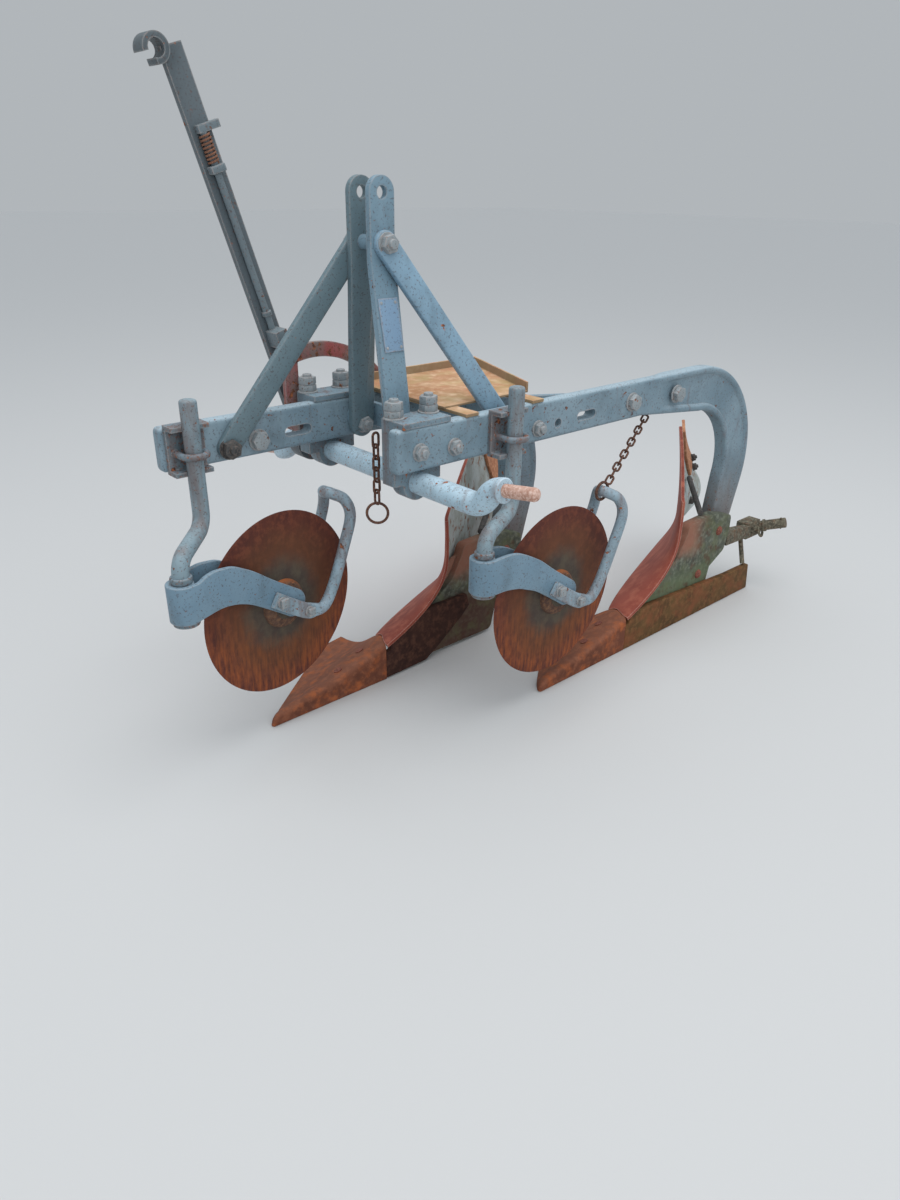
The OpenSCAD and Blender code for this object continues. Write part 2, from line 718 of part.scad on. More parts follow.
// A cranked stalk whose lower end is the fork's swivel pin
module stalk(at, way, top) {
    bend_top = top + 12 + stalk_drop;
    translate([at[0], at[1], bend_top]) cylinder(h = stalk_top - bend_top, r = stalk_r, $fn = 48);
    path = crank_path(stalk_bend_r, stalk_bend, stalk_straight, stalk_bend);
    translate([at[0], at[1], bend_top]) rotate([0, 0, way]) rotate([180, 0, 0])
        tube(concat([[0, 0, -8]], path, [path[len(path) - 1] + [0, 0, 6]]), stalk_r - 0.3, 20, [0, 1, 0]);
    foot = swivel_at(at, way);
    translate([foot[0], foot[1], top + collar_gap]) cylinder(h = 12, r = stalk_r + 4, $fn = 48);
    translate([foot[0], foot[1], top - nose_height - 10])
        cylinder(h = nose_height + 24, r = stalk_r - 1, $fn = 48);
    translate([foot[0], foot[1], top - nose_height - 8])
        cylinder(h = 8 - collar_gap, r = stalk_r + 8, $fn = 48);
}

module rear_stalk() color(paint) in_frame() stalk(rear_stalk_at, rear_crank_way, rear_nose_top_z);
module front_stalk() color(paint) in_frame() stalk(front_stalk_at, front_crank_way, front_nose_top_z);

clamp_back = 9;
clamp_flange = 8;
u_bolt_d = 12;

// The clamp: a channel on the beam's face and a U-bolt round the stalk
module clamp(at, face) {
    reach = at[0] - face;
    translate([face, at[1] - 34, beam_top - beam_depth - 2]) cube([clamp_back, 68, beam_depth + 8]);
    difference() {
        for (z = [beam_top - beam_depth - 2, beam_top + 6 - clamp_flange])
            translate([face, at[1] - 34, z]) cube([reach - 2, 68, clamp_flange]);
        translate([at[0], at[1], beam_top - beam_depth - 10])
            cylinder(h = beam_depth + 30, r = stalk_r + 0.3, $fn = 48);
    }
    translate([at[0], at[1], beam_top - 42]) {
        rotate([0, 0, -90]) rotate_extrude(angle = 180, $fn = 64)
            translate([stalk_r + u_bolt_d / 2 + 0.4, 0]) circle(d = u_bolt_d, $fn = 32);
        for (side = [-1, 1]) translate([-reach + clamp_back, side * (stalk_r + u_bolt_d / 2 + 0.4), 0])
            rotate([0, 90, 0]) cylinder(h = reach - clamp_back, d = u_bolt_d, $fn = 32);
    }
}

module rear_clamp() color(paint) in_frame() clamp(rear_stalk_at, beam_left);
module front_clamp() color(paint) in_frame() clamp(front_stalk_at, right_face);

fork_half = 27;
arm_thick = 9;
hub_half_width = 17;

// Moves what is made at a swivel axis, trailing toward +y, to its coulter
module at_swivel(swivel, way) translate([swivel[0], swivel[1], 0]) rotate([0, 0, way]) children();

// Edges of a fork's arm, back from the swivel axis and up from the axle, where they arch over the disc
arm_top = [[89, 120], [112, 108], [135, 94], [171, 67]];
arm_low = [[191, -11], [166, 6], [142, 22], [118, 37], [95, 47]];
// Where each arm's edges leave its nose, which sits lower on the front fork
rear_arm_start = [[0, 133], [22, 134], [47, 133], [68, 129]];
front_arm_start = [[0, 115], [17, 116], [30, 122], [48, 125.5], [68, 124]];
rear_arm_foot = [[73, 56], [52, 61], [31, 64], [0, 65]];
front_arm_foot = [[70, 53], [50, 54], [25, 51], [0, 47]];

// The fork: a nose round the swivel pin and two arms that arch down to the axle
module yoke(axle_z, top, start, foot) {
    low = top - nose_height;
    up = [0, axle_z];
    difference() {
        union() {
            translate([0, 0, low]) cylinder(h = nose_height, r = fork_half, $fn = 64);
            for (x = [-fork_half, fork_half - arm_thick]) side_plate(x, arm_thick) polygon(concat(
                [for (p = start) p + up],
                [for (p = arm_top) p + up],
                arc([trail + 8, axle_z + 4], 27, 58, -122, 14),
                [for (p = arm_low) p + up],
                [for (p = foot) p + up]
            ));
        }
        translate([0, 0, low - 1])
            cylinder(h = nose_height + 2, r = stalk_r - 1 + fit_gap, $fn = 64);
        translate([-fork_half + arm_thick, stalk_r + 7, low - 1])
            cube([2 * (fork_half - arm_thick), fork_half, nose_height + 2]);
        translate([-60, trail, axle_z]) rotate([0, 90, 0]) cylinder(h = 120, r = axle_r + fit_gap, $fn = 48);
    }
}

axle_r = 11;

module rear_yoke() color(paint) in_frame() at_swivel(rear_swivel, rear_trail_way)
    yoke(rear_axle_z, rear_nose_top_z, rear_arm_start, rear_arm_foot);
module front_yoke() color(paint) in_frame() at_swivel(front_swivel, front_trail_way)
    yoke(front_axle_z, front_nose_top_z, front_arm_start, front_arm_foot);

guard_top_back = 336;
guard_top_rise = 184;
guard_side = fork_half + guard_d / 2 + 0.3;

// The guard's right half, from its flat end on the arm over the disc's rear edge
guard_half_path = [
    [guard_side, 180, 20], [guard_side, 214, -4], [guard_side, 248, -20], [guard_side, 280, -22],
    [guard_side, 308, 14], [guard_side, 340, 82], [37, 362, 136], [28, 358, guard_top_rise - 16],
    [12, 342, guard_top_rise - 3], [0, guard_top_back, guard_top_rise]
];

module guard(axle_z) {
    half_path = [for (p = guard_half_path) p + [0, 0, axle_z]];
    other = [for (i = [len(half_path) - 2 : -1 : 0]) [-half_path[i][0], half_path[i][1], half_path[i][2]]];
    tube(smooth(concat(half_path, other), 3), guard_d / 2, 12, [0, -0.42, 0.91]);
    for (side = [-1, 1]) translate([side * (fork_half + 7), 196, axle_z + 12]) rotate([-32, 0, 0])
        cube([14, 70, 26], center = true);
}

module rear_guard() color(paint) in_frame() at_swivel(rear_swivel, rear_trail_way) guard(rear_axle_z);
module front_guard() color(paint) in_frame() at_swivel(front_swivel, front_trail_way) guard(front_axle_z);

// The disc turns with its hub and axle stubs in the fork's arms
module disc(axle_z) translate([0, trail, axle_z]) rotate([0, 90, 0]) {
    translate([0, 0, -disc_thick / 2]) cylinder(h = disc_thick, d = disc_d, $fn = 128);
    for (side = [-1, 1]) translate([0, 0, side > 0 ? 0 : -hub_half_width])
        cylinder(h = hub_half_width, r = 30, $fn = 48);
    translate([0, 0, -fork_half + 0.5]) cylinder(h = 2 * fork_half - 1, r = axle_r, $fn = 48);
}

module rear_disc() color(dark_rust) in_frame() at_swivel(rear_swivel, rear_trail_way) disc(rear_axle_z);
module front_disc() color(dark_rust) in_frame() at_swivel(front_swivel, front_trail_way) disc(front_axle_z);

// Chains

chain_wire = 4.6;
link_pitch = 22;
link_half_width = 6.2;

// One link in its own xz plane, centred, long way up
module link() {
    straight = link_pitch + chain_wire - 2 * link_half_width;
    for (side = [-1, 1]) {
        translate([side * link_half_width, 0, -straight / 2])
            cylinder(h = straight, d = chain_wire, $fn = 16);
        translate([0, 0, side * straight / 2]) rotate([90, 0, 0]) rotate([0, 0, side > 0 ? 0 : 180])
            rotate_extrude(angle = 180, $fn = 32) translate([link_half_width, 0])
                circle(d = chain_wire, $fn = 16);
    }
}

// A chain between two points, each link a quarter turn from the last
module chain(a, b, turn) {
    v = b - a;
    count = round(norm(v) / link_pitch);
    step = norm(v) / count;
    translate(a) rotate([0, acos(v[2] / norm(v)), atan2(v[1], v[0])])
        for (i = [0 : count - 1]) translate([0, 0, (i + 0.5) * step]) rotate([0, 0, turn + 90 * (i % 2)])
            link();
}

module ring(r, wire) rotate_extrude($fn = 64) translate([r, 0]) circle(d = wire, $fn = 24);

hang_from = [left_bracket_x - 28, -44, beam_top - 17];
hang_to = hang_from - [0, 0, 132];
ring_r = 19;

module hanging_chain() color(dark_rust) in_frame() {
    translate([hang_from[0] - 10, hang_from[1] - 3, hang_from[2] - 4]) cube([38, 6, 12]);
    chain(hang_from - [0, 0, 8], hang_to, 0);
    translate(hang_to - [0, 0, ring_r + 1]) rotate([90, 0, 50]) ring(ring_r, 5);
}

chain_top = [beam_right - 3, rim_start + 20, beam_top - beam_depth - 14];

module rear_chain() color(dark_rust) in_frame() {
    at = [rear_swivel[0] - guard_top_back * sin(rear_trail_way),
        rear_swivel[1] + guard_top_back * cos(rear_trail_way), rear_axle_z + guard_top_rise];
    chain(chain_top, at + [-6, 24, 10], 0);
    translate(at) rotate([0, 90, 0]) ring(guard_d / 2 + 7, 6);
}

// The middle of the plough lies between the front fork's nose and the rear wing's lower part
front_end = front_swivel[1] - fork_half;
wing_rise = board_high(wing_reach) - board_low(wing_reach);
back_end = max([for (k = [0 : board_rows])
    board_point(wing_reach, board_low(wing_reach) + wing_rise * k / board_rows, board_thick)[1]]);
middle_y = (front_end + back_end) / 2;

left_beam();
right_beam();
front_brace();
rear_brace();
left_upright();
right_upright();
left_stay();
right_stay();
mast_spacer();
name_plate();
left_shaft_bracket();
right_shaft_bracket();
quadrant();
tray();
hanging_chain();
rear_chain();
rear_frog();
front_frog();
rear_share();
front_share();
rear_landside();
front_landside();
rear_mouldboard();
front_mouldboard();
rear_tail_piece();
front_tail_piece();
rear_board_stay();
front_board_stay();
furrow_wheel_stub();
rear_clamp();
front_clamp();
rear_stalk();
front_stalk();
cross_shaft();
lever();
lever_latch();
rear_yoke();
front_yoke();
rear_guard();
front_guard();
rear_disc();
front_disc();
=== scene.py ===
"""Looks of a two-furrow moldboard plough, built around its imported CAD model.

Lengths are written in millimetres from the cross shaft, as in the part's source:
x = 0 is the middle of the hitch, y = 0 the shaft's axis, z = 0 the floor, travel is toward -y.
finished() moves every new mesh to the shared frame, in metres.
"""
import json
import math

import bmesh
import bpy
import numpy as np
from mathutils import Matrix, Vector

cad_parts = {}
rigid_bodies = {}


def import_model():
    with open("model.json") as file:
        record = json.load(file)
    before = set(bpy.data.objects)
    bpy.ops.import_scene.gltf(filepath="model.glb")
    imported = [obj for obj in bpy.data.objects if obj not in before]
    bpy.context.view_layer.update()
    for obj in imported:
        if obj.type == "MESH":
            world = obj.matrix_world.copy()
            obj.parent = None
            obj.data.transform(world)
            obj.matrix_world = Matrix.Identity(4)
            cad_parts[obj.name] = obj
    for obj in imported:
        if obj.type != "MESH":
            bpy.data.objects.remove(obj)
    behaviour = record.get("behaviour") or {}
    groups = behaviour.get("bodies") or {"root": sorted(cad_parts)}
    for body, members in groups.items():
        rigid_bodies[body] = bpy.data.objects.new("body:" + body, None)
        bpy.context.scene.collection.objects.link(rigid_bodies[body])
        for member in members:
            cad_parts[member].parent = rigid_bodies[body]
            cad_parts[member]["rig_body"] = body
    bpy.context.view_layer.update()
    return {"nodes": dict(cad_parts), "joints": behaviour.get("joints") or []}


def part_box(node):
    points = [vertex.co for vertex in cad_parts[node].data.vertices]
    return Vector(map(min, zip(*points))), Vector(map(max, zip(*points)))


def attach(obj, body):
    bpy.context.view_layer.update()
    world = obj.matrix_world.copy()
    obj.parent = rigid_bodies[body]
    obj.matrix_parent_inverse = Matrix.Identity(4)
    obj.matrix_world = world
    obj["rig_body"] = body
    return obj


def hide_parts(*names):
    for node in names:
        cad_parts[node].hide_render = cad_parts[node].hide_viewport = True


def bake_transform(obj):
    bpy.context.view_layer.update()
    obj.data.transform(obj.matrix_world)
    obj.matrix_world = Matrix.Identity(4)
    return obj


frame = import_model()
joints = {joint["name"]: joint for joint in frame["joints"]}
middle_y = -1000 * joints["shaft_turn"]["pos_m"][1]
shaft_z = 1000 * joints["shaft_turn"]["pos_m"][2]


# Driving sizes, millimetres from the cross shaft

def working(point):
    """A point of the shared frame, in working millimetres."""
    return 1000 * np.array(point) + [0, middle_y, 0]


def in_frame(point):
    """A working point in the shared frame, in metres."""
    return tuple((np.asarray(point, float) - [0, middle_y, 0]) / 1000)


def corner(node, high):
    """Lowest or highest corner of a CAD node."""
    return working(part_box(node)[1 if high else 0])


beam_left = corner("left_beam", True)[0]
beam_right = corner("front_brace", True)[0]
rim_right = corner("left_beam", False)[0]
beam_top = corner("left_beam", True)[2]
beam_depth = 76
left_beam_front = corner("left_beam", False)[1]
right_beam_front = corner("right_beam", False)[1]
curve_y = 825
curve_outer_r = 248
curve_inner_r = 148
leg_lean = math.radians(15)
leg_bottom = corner("left_beam", False)[2]
leg_width = 80
rim_start = 640
rim_height = 13
rim_runout = 60
beam_end_r = 8
web_left = beam_right + 19
hole_r = 9
slot_half = 19

# The right body is the left one, moved by one furrow and one pitch
right_shift = corner("right_beam", True) - corner("left_beam", True)
right_face = beam_left + right_shift[0]

share_tip_y = corner("rear_share", False)[1]
land_x = corner("rear_share", True)[0]
share_length = 291
seam_height = 84
cut_width = 214
wing_reach = 285
shin_height = 330
wing_height = 412
shin_back = 462
ridge_width = 75
board_thick = 8
tail_start = wing_reach - 45
tail_thick = 8

shaft_r = 20.5
crank_start = 258
crank_bend_r = 45
crank_turn = math.radians(56)
pin_splay = math.radians(9)
link_pin_r = 11.1
link_pin_length = 68

stalk_r = 14.5
stalk_top = 672
stalk_bend_r = 32
stalk_bend = math.radians(75)
stalk_crank = 100
trail = 208
collar_height = 12
nose_height = 68
fork_half = 27
arm_thick = 9
arm_end_r = 27
arm_end_back = 8
arm_end_rise = 4
arm_end_half = 14.3
arm_end_height = 22.9
disc_r = 177


def swivel(name):
    """A coulter's swivel axis, and its axle's height and the way it trails."""
    axis = working(joints[name + "_swivel"]["pos_m"])
    axle = working(joints[name + "_disc_spin"]["pos_m"])
    way = math.atan2(axis[0] - axle[0], axle[1] - axis[1])
    return {"name": name, "x": axis[0], "y": axis[1], "axle_z": axle[2], "axle": axle, "way": way}


rear_coulter = swivel("rear") | {
    "stalk": np.array([181, 175]), "face": beam_left, "nose_top": 383,
    "arm_start": [(0, 133), (22, 134), (47, 133), (68, 129)],
    "arm_foot": [(0, 65), (31, 64), (52, 61), (73, 56)]}
front_coulter = swivel("front") | {
    "stalk": np.array([-80, -315]), "face": right_face, "nose_top": 393,
    "arm_start": [(0, 115), (17, 116), (30, 122), (48, 125.5), (68, 124)],
    "arm_foot": [(0, 47), (25, 51), (50, 54), (70, 53)]}
coulters = [rear_coulter, front_coulter]


# Shapes: each is (points, faces) and closed

def unit(v):
    """Vectors scaled to a length of one."""
    v = np.asarray(v, float)
    return v / np.linalg.norm(v, axis=-1, keepdims=True)


def quads(rows, columns, wrap_rows=False, wrap_columns=False):
    """Faces between the neighbouring points of a grid, which may close on itself either way."""
    i = np.arange(rows if wrap_rows else rows - 1)[:, None]
    j = np.arange(columns if wrap_columns else columns - 1)[None, :]
    over, along = (i + 1) % rows, (j + 1) % columns
    cell = (i * columns + j, over * columns + j, over * columns + along, i * columns + along)
    return np.stack(np.broadcast_arrays(*cell), -1).reshape(-1, 4).tolist()


def skin(rings, wrap=False):
    """A solid from rings of points: neighbouring rings are joined, and the first and last are closed."""
    rows, columns = rings.shape[:2]
    faces = quads(rows, columns, wrap_rows=wrap, wrap_columns=True)
    if not wrap:
        last = (rows - 1) * columns
        faces += [list(range(columns)), list(range(last, last + columns))]
    return rings.reshape(-1, 3), faces


def eased(x):
    """From zero to one with level ends: x squared times 3 less 2 x, where x is held between zero and one."""
    x = np.clip(x, 0, 1)
    return x * x * (3 - 2 * x)


def rings_along(path, section, across, up):
    """A section's points at each point of a path: the point plus across times u plus up times v."""
    return path[:, None] + section[..., :1] * across[:, None] + section[..., 1:] * up[:, None]


def around(a, side, other):
    """Ways round an axis, by angles from one side toward the other."""
    return np.cos(a) * side + np.sin(a) * other


def carried(section, path, guide, wrap=False):
    """A section carried along a path: at each point, across is the path's way crossed with the guide
    and up is across crossed with the way."""
    path = np.asarray(path, float)
    if wrap:
        way = np.roll(path, -1, 0) - np.roll(path, 1, 0)
    else:
        way = np.gradient(path, axis=0)
    way = unit(way)
    across = unit(np.cross(way, guide))
    up = np.cross(across, way)
    section = np.broadcast_to(section, (len(path),) + np.shape(section)[-2:])
    return skin(rings_along(path, section, across, up), wrap)


def round_section(r, sides=24):
    """A circle of radius r. With an array of radii, one circle for each point of the path."""
    a = np.linspace(0, 2 * np.pi, sides, endpoint=False)
    return np.asarray(r, float)[..., None, None] * np.stack([np.cos(a), np.sin(a)], -1)


def bar_section(width, height, edge=2.0):
    """A rectangle whose corners are quarter circles of radius edge. Width and height may be arrays."""
    a = np.radians(np.array([0, 30, 60, 90]))
    quarter = np.stack([np.cos(a), np.sin(a)], -1)
    turned_by = [quarter, quarter[::-1] * [-1, 1], quarter * [-1, -1], quarter[::-1] * [1, -1]]
    width, height = np.broadcast_arrays(np.asarray(width, float), np.asarray(height, float))
    half = np.stack([width / 2 - edge, height / 2 - edge], -1)[..., None, :]
    signs = [[1, 1], [-1, 1], [-1, -1], [1, -1]]
    return np.concatenate([half * sign + edge * arc for sign, arc in zip(signs, turned_by)], -2)


def turned(profile, origin, axis, sides=48):
    """A turned solid: each (radius, distance) of the profile goes round the axis, distance along it."""
    axis = unit(axis)
    side = unit(np.cross(axis, [0.31, 0.87, 0.38]))
    other = np.cross(axis, side)
    a = np.linspace(0, 2 * np.pi, sides, endpoint=False)
    r, along = np.asarray(profile, float).T[..., None, None]
    return skin(np.asarray(origin) + along * axis + r * around(a[:, None], side, other))


def rounded_drum(r, near, far, edge=1.5):
    """Profile of a drum between two distances along its axis, with its two rims rounded."""
    a = np.radians([0, 30, 60, 90])
    first = np.stack([r - edge + edge * np.sin(a), near + edge - edge * np.cos(a)], -1)
    last = np.stack([r - edge + edge * np.sin(a[::-1]), far - edge + edge * np.cos(a[::-1])], -1)
    return np.concatenate([first, last])


def plate(outline, near, far, place, edge=1.5):
    """A flat plate: its outline moved from near to far, where the first and last rings are drawn in
    along the outline's own normals by a quarter circle of radius edge. place gives origin and axes."""
    outline = np.asarray(outline, float)
    way = unit(np.roll(outline, -1, 0) - outline)
    out = np.stack([way[:, 1], -way[:, 0]], -1)
    area = np.sum(outline[:, 0] * np.roll(outline[:, 1], -1) - np.roll(outline[:, 0], -1) * outline[:, 1])
    out = out * np.sign(area)
    both = unit(out + np.roll(out, 1, 0))
    both = both / np.clip(np.sum(both * out, -1, keepdims=True), 0.4, 1)
    a = np.radians([0, 45, 90])
    drawn_in = np.concatenate([edge * (1 - np.sin(a)), edge * (1 - np.sin(a[::-1]))])
    depth = np.concatenate([near + edge * (1 - np.cos(a)), far - edge * (1 - np.cos(a[::-1]))])
    flat = outline - drawn_in[:, None, None] * both
    origin, u, v, w = (np.asarray(part, float) for part in place)
    return skin(origin + flat[..., :1] * u + flat[..., 1:] * v + depth[:, None, None] * w)


def side_place(x=0, y=0, z=0):
    """Place of a plate that stands fore and aft: its outline is in y and z, its depth along +x."""
    return [x, y, z], [0, 1, 0], [0, 0, 1], [1, 0, 0]


def axis_place(origin, axis):
    """Place of a plate whose depth goes along an axis."""
    axis = unit(axis)
    side = unit(np.cross(axis, [0.31, 0.87, 0.38] if abs(axis[0]) > 0.9 else [1, 0, 0]))
    return origin, side, np.cross(axis, side), axis


def thickened(grid, thick):
    """A wall from a grid of points: the second face lies thick behind the first, along the normal,
    which is the grid's one direction crossed with the other. The four rims are closed."""
    normal = unit(np.cross(np.gradient(grid, axis=0), np.gradient(grid, axis=1)))
    return shell(grid, grid - thick * normal)


def shell(grid, back):
    """A closed wall between two grids of points with the same rows and columns."""
    rows, columns = grid.shape[:2]
    points = np.concatenate([grid.reshape(-1, 3), back.reshape(-1, 3)])
    count = rows * columns
    index = np.arange(count).reshape(rows, columns)
    rim = np.concatenate([index[0], index[1:, -1], index[-1, -2::-1], index[-2:0:-1, 0]])
    ahead = np.roll(rim, -1)
    walls = np.stack([rim, ahead, ahead + count, rim + count], -1).tolist()
    faces = quads(rows, columns)
    return points, faces + [[i + count for i in face] for face in faces] + walls


def dome(centre, axis, r, high):
    """A low round head: the radius falls as the cosine of an angle while the height rises as its sine."""
    a = np.radians(np.linspace(0, 90, 7))
    profile = np.stack([r * np.cos(a), high * np.sin(a)], -1)
    return turned(np.concatenate([[[r, -2.0]], profile]), centre, axis, 28)


def even_corners(flats, turn=0.0, corners=6):
    """The corners of a hexagon, or of another even shape, given its width across flats."""
    a = np.radians(np.arange(corners) * 360 / corners + turn)
    return flats / 2 / math.cos(math.pi / corners) * np.stack([np.cos(a), np.sin(a)], -1)


def nut_shape(face, way, flats, high, turn=15.0, stud=0.0, washer=True, corners=6):
    """A nut or a bolt's head on a face: a washer, a hexagon with its rim rounded, and the stud's end."""
    face = np.asarray(face, float)
    way = unit(way)
    shapes = []
    lift = 0.0
    if washer:
        shapes.append(turned(rounded_drum(flats * 0.66, -0.5, 2.5, 0.8), face, way, 32))
        lift = 2.3
    shapes.append(plate(even_corners(flats, turn, corners), lift, lift + high, axis_place(face, way), 1.6))
    if stud:
        shapes.append(turned(rounded_drum(flats * 0.29, lift, lift + high + stud, 1.2), face, way, 24))
    return shapes


def arc(centre, r, start, end, steps):
    """Points of an arc in a plane, its angles in degrees."""
    a = np.radians(np.linspace(start, end, steps))
    return np.asarray(centre) + r * np.stack([np.cos(a), np.sin(a)], -1)


def smooth_path(points, steps):
    """A curve through chosen points: each span is the cubic whose ends take their slope from the
    neighbours on both sides."""
    p = np.asarray(points, float)
    p = np.concatenate([[2 * p[0] - p[1]], p, [2 * p[-1] - p[-2]]])
    t = np.linspace(0, 1, steps, endpoint=False)[None, :, None]
    a, b, c, d = p[:-3, None], p[1:-2, None], p[2:-1, None], p[3:, None]
    curve = 2 * b + (c - a) * t + (2 * a - 5 * b + 4 * c - d) * t ** 2
    curve = 0.5 * (curve + (3 * b - a - 3 * c + d) * t ** 3)
    return np.concatenate([curve.reshape(-1, p.shape[1]), p[-2:-1]])


def moved(shape, shift):
    """The same shape, moved."""
    return shape[0] + np.asarray(shift), shape[1]


def all_moved(shapes, shift):
    """Several shapes, each moved."""
    return [moved(shape, shift) for shape in shapes]


def together(shapes):
    """Several shapes as one."""
    points, faces, count = [], [], 0
    for some, cells in shapes:
        points.append(some)
        faces += [[i + count for i in cell] for cell in cells]
        count += len(some)
    return np.concatenate(points), faces


# Pieces: meshes that ride on a body

merge_distance = 2e-6
level_angle = math.radians(1)
bevel_angle = math.radians(32)
sharp_angle = math.radians(38)


def clean_mesh(mesh, flat=False):
    """Merges doubled points and turns every closed shell outward. flat also joins level triangles."""
    work = bmesh.new()
    work.from_mesh(mesh)
    bmesh.ops.remove_doubles(work, verts=work.verts, dist=merge_distance)
    if flat:
        bmesh.ops.dissolve_limit(work, angle_limit=level_angle, verts=work.verts, edges=work.edges)
    bmesh.ops.recalc_face_normals(work, faces=work.faces)
    work.to_mesh(mesh)
    work.free()


def keep_modified(piece):
    """Keeps what a piece's modifiers make as its mesh."""
    bpy.context.view_layer.update()
    seen = piece.evaluated_get(bpy.context.evaluated_depsgraph_get())
    mesh = bpy.data.meshes.new_from_object(seen)
    piece.modifiers.clear()
    piece.data = mesh


def with_rounded_edges(piece, width, segments=2):
    """Bevels a piece's sharp edges."""
    bevel = piece.modifiers.new("edges", "BEVEL")
    bevel.width = width / 1000
    bevel.segments = segments
    bevel.limit_method = "ANGLE"
    bevel.angle_limit = bevel_angle
    keep_modified(piece)


def smooth_shaded(piece):
    """Shades a mesh smoothly, except over its sharp edges."""
    piece.data.polygons.foreach_set("use_smooth", [True] * len(piece.data.polygons))
    piece.data.set_sharp_from_angle(angle=sharp_angle)


def painted(piece, material):
    """Gives a piece one material."""
    piece.data.materials.clear()
    piece.data.materials.append(material)


def finished(name, shapes, material, body="root", nodes=(), rounded=0):
    """Makes one piece from shapes in working millimetres, and says what it rides on and replaces."""
    points, faces = together(shapes)
    mesh = bpy.data.meshes.new(name)
    mesh.from_pydata(((points - [0, middle_y, 0]) / 1000).tolist(), [], faces)
    clean_mesh(mesh)
    piece = bpy.data.objects.new(name, mesh)
    bpy.context.scene.collection.objects.link(piece)
    if rounded:
        with_rounded_edges(piece, rounded)
    painted(piece, material)
    smooth_shaded(piece)
    if nodes:
        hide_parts(*nodes)
    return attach(piece, body) if body else piece


def softened(node, material, rounded):
    """A copy of a CAD node with its doubled points merged and its edges rounded, which replaces it."""
    source = frame["nodes"][node]
    mesh = source.data.copy()
    clean_mesh(mesh, flat=True)
    piece = bpy.data.objects.new(node + "_worn", mesh)
    bpy.context.scene.collection.objects.link(piece)
    with_rounded_edges(piece, rounded, 3)
    painted(piece, material)
    smooth_shaded(piece)
    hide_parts(node)
    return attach(piece, source["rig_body"])


# Shader groups

def wire(tree, kind, settings=None, **inputs):
    """Adds a node. Its inputs take a value or another node's socket. They are named with _ for a
    space, or with i and their place in the node where names repeat."""
    node = tree.nodes.new(kind)
    for key, value in (settings or {}).items():
        setattr(node, key, value)
    for key, value in inputs.items():
        by_place = key[0] == "i" and key[1:].isdigit()
        socket = node.inputs[int(key[1:]) if by_place else key.replace("_", " ")]
        if isinstance(value, bpy.types.NodeSocket):
            tree.links.new(value, socket)
        else:
            socket.default_value = value
    return node


def number(tree, operation, a, b=0.0, c=0.0, clamp=False):
    """One step of arithmetic."""
    node = wire(tree, "ShaderNodeMath", {"operation": operation, "use_clamp": clamp}, i0=a, i1=b, i2=c)
    return node.outputs[0]


def product(tree, a, b):
    """Two values multiplied."""
    return number(tree, "MULTIPLY", a, b)


def one_less(tree, value):
    """One less a value, which turns a mask over."""
    return number(tree, "SUBTRACT", 1.0, value)


def mixed(tree, below, above, factor):
    """A colour that goes from one to another as the factor goes from zero to one."""
    node = wire(tree, "ShaderNodeMix", {"data_type": "RGBA"}, Factor=factor, i6=below, i7=above)
    return node.outputs[2]


def ramped(tree, value, low, high):
    """Zero below low and one above high, smoothly."""
    node = wire(tree, "ShaderNodeMapRange", {"interpolation_type": "SMOOTHSTEP"},
                Value=value, From_Min=low, From_Max=high)
    return node.outputs[0]


def group(name, inputs, outputs):
    """An empty shader group. Its inputs have start values: a number, a vector of 3 or a colour of 4.
    Its outputs have kinds."""
    kinds = {1: "Float", 3: "Vector", 4: "Color"}
    tree = bpy.data.node_groups.new(name, "ShaderNodeTree")
    for title, start in inputs.items():
        kind = "NodeSocket" + kinds[np.size(start)]
        tree.interface.new_socket(title, in_out="INPUT", socket_type=kind).default_value = start
    for title, kind in outputs.items():
        tree.interface.new_socket(title, in_out="OUTPUT", socket_type="NodeSocket" + kind)
    return tree, tree.nodes.new("NodeGroupInput").outputs, tree.nodes.new("NodeGroupOutput").inputs


def object_place(tree):
    """The point's place on the piece."""
    return tree.nodes.new("ShaderNodeTexCoord").outputs["Object"]


def true_normal(tree):
    """The surface's normal."""
    return tree.nodes.new("ShaderNodeNewGeometry").outputs["Normal"]


def noise(tree, place, scale, detail, roughness=0.5):
    """Cloud noise from zero to one."""
    node = wire(tree, "ShaderNodeTexNoise", Vector=place, Scale=scale, Detail=detail, Roughness=roughness)
    return node.outputs["Fac"]


def ragged_by(tree, place, amount, scale, detail, roughness):
    """Noise on both sides of zero, as wide as the amount."""
    centred = number(tree, "SUBTRACT", noise(tree, place, scale, detail, roughness), 0.5)
    return product(tree, centred, amount)


def split(tree, vector):
    """The three parts of a vector."""
    return wire(tree, "ShaderNodeSeparateXYZ", Vector=vector).outputs


def placed(tree, made, **inputs):
    """The first output of a shader group placed in a tree."""
    return wire(tree, "ShaderNodeGroup", {"node_tree": made}, **inputs).outputs[0]


def spotted(tree, size, amount, softness, seed, streak=1.0):
    """A mask of patches: their size in millimetres, how much they cover, how soft their edges are, the
    noise's own number, and how far they are drawn out downward."""
    return placed(tree, patches, Size=size, Amount=amount, Softness=softness, Streak=streak, Seed=seed)


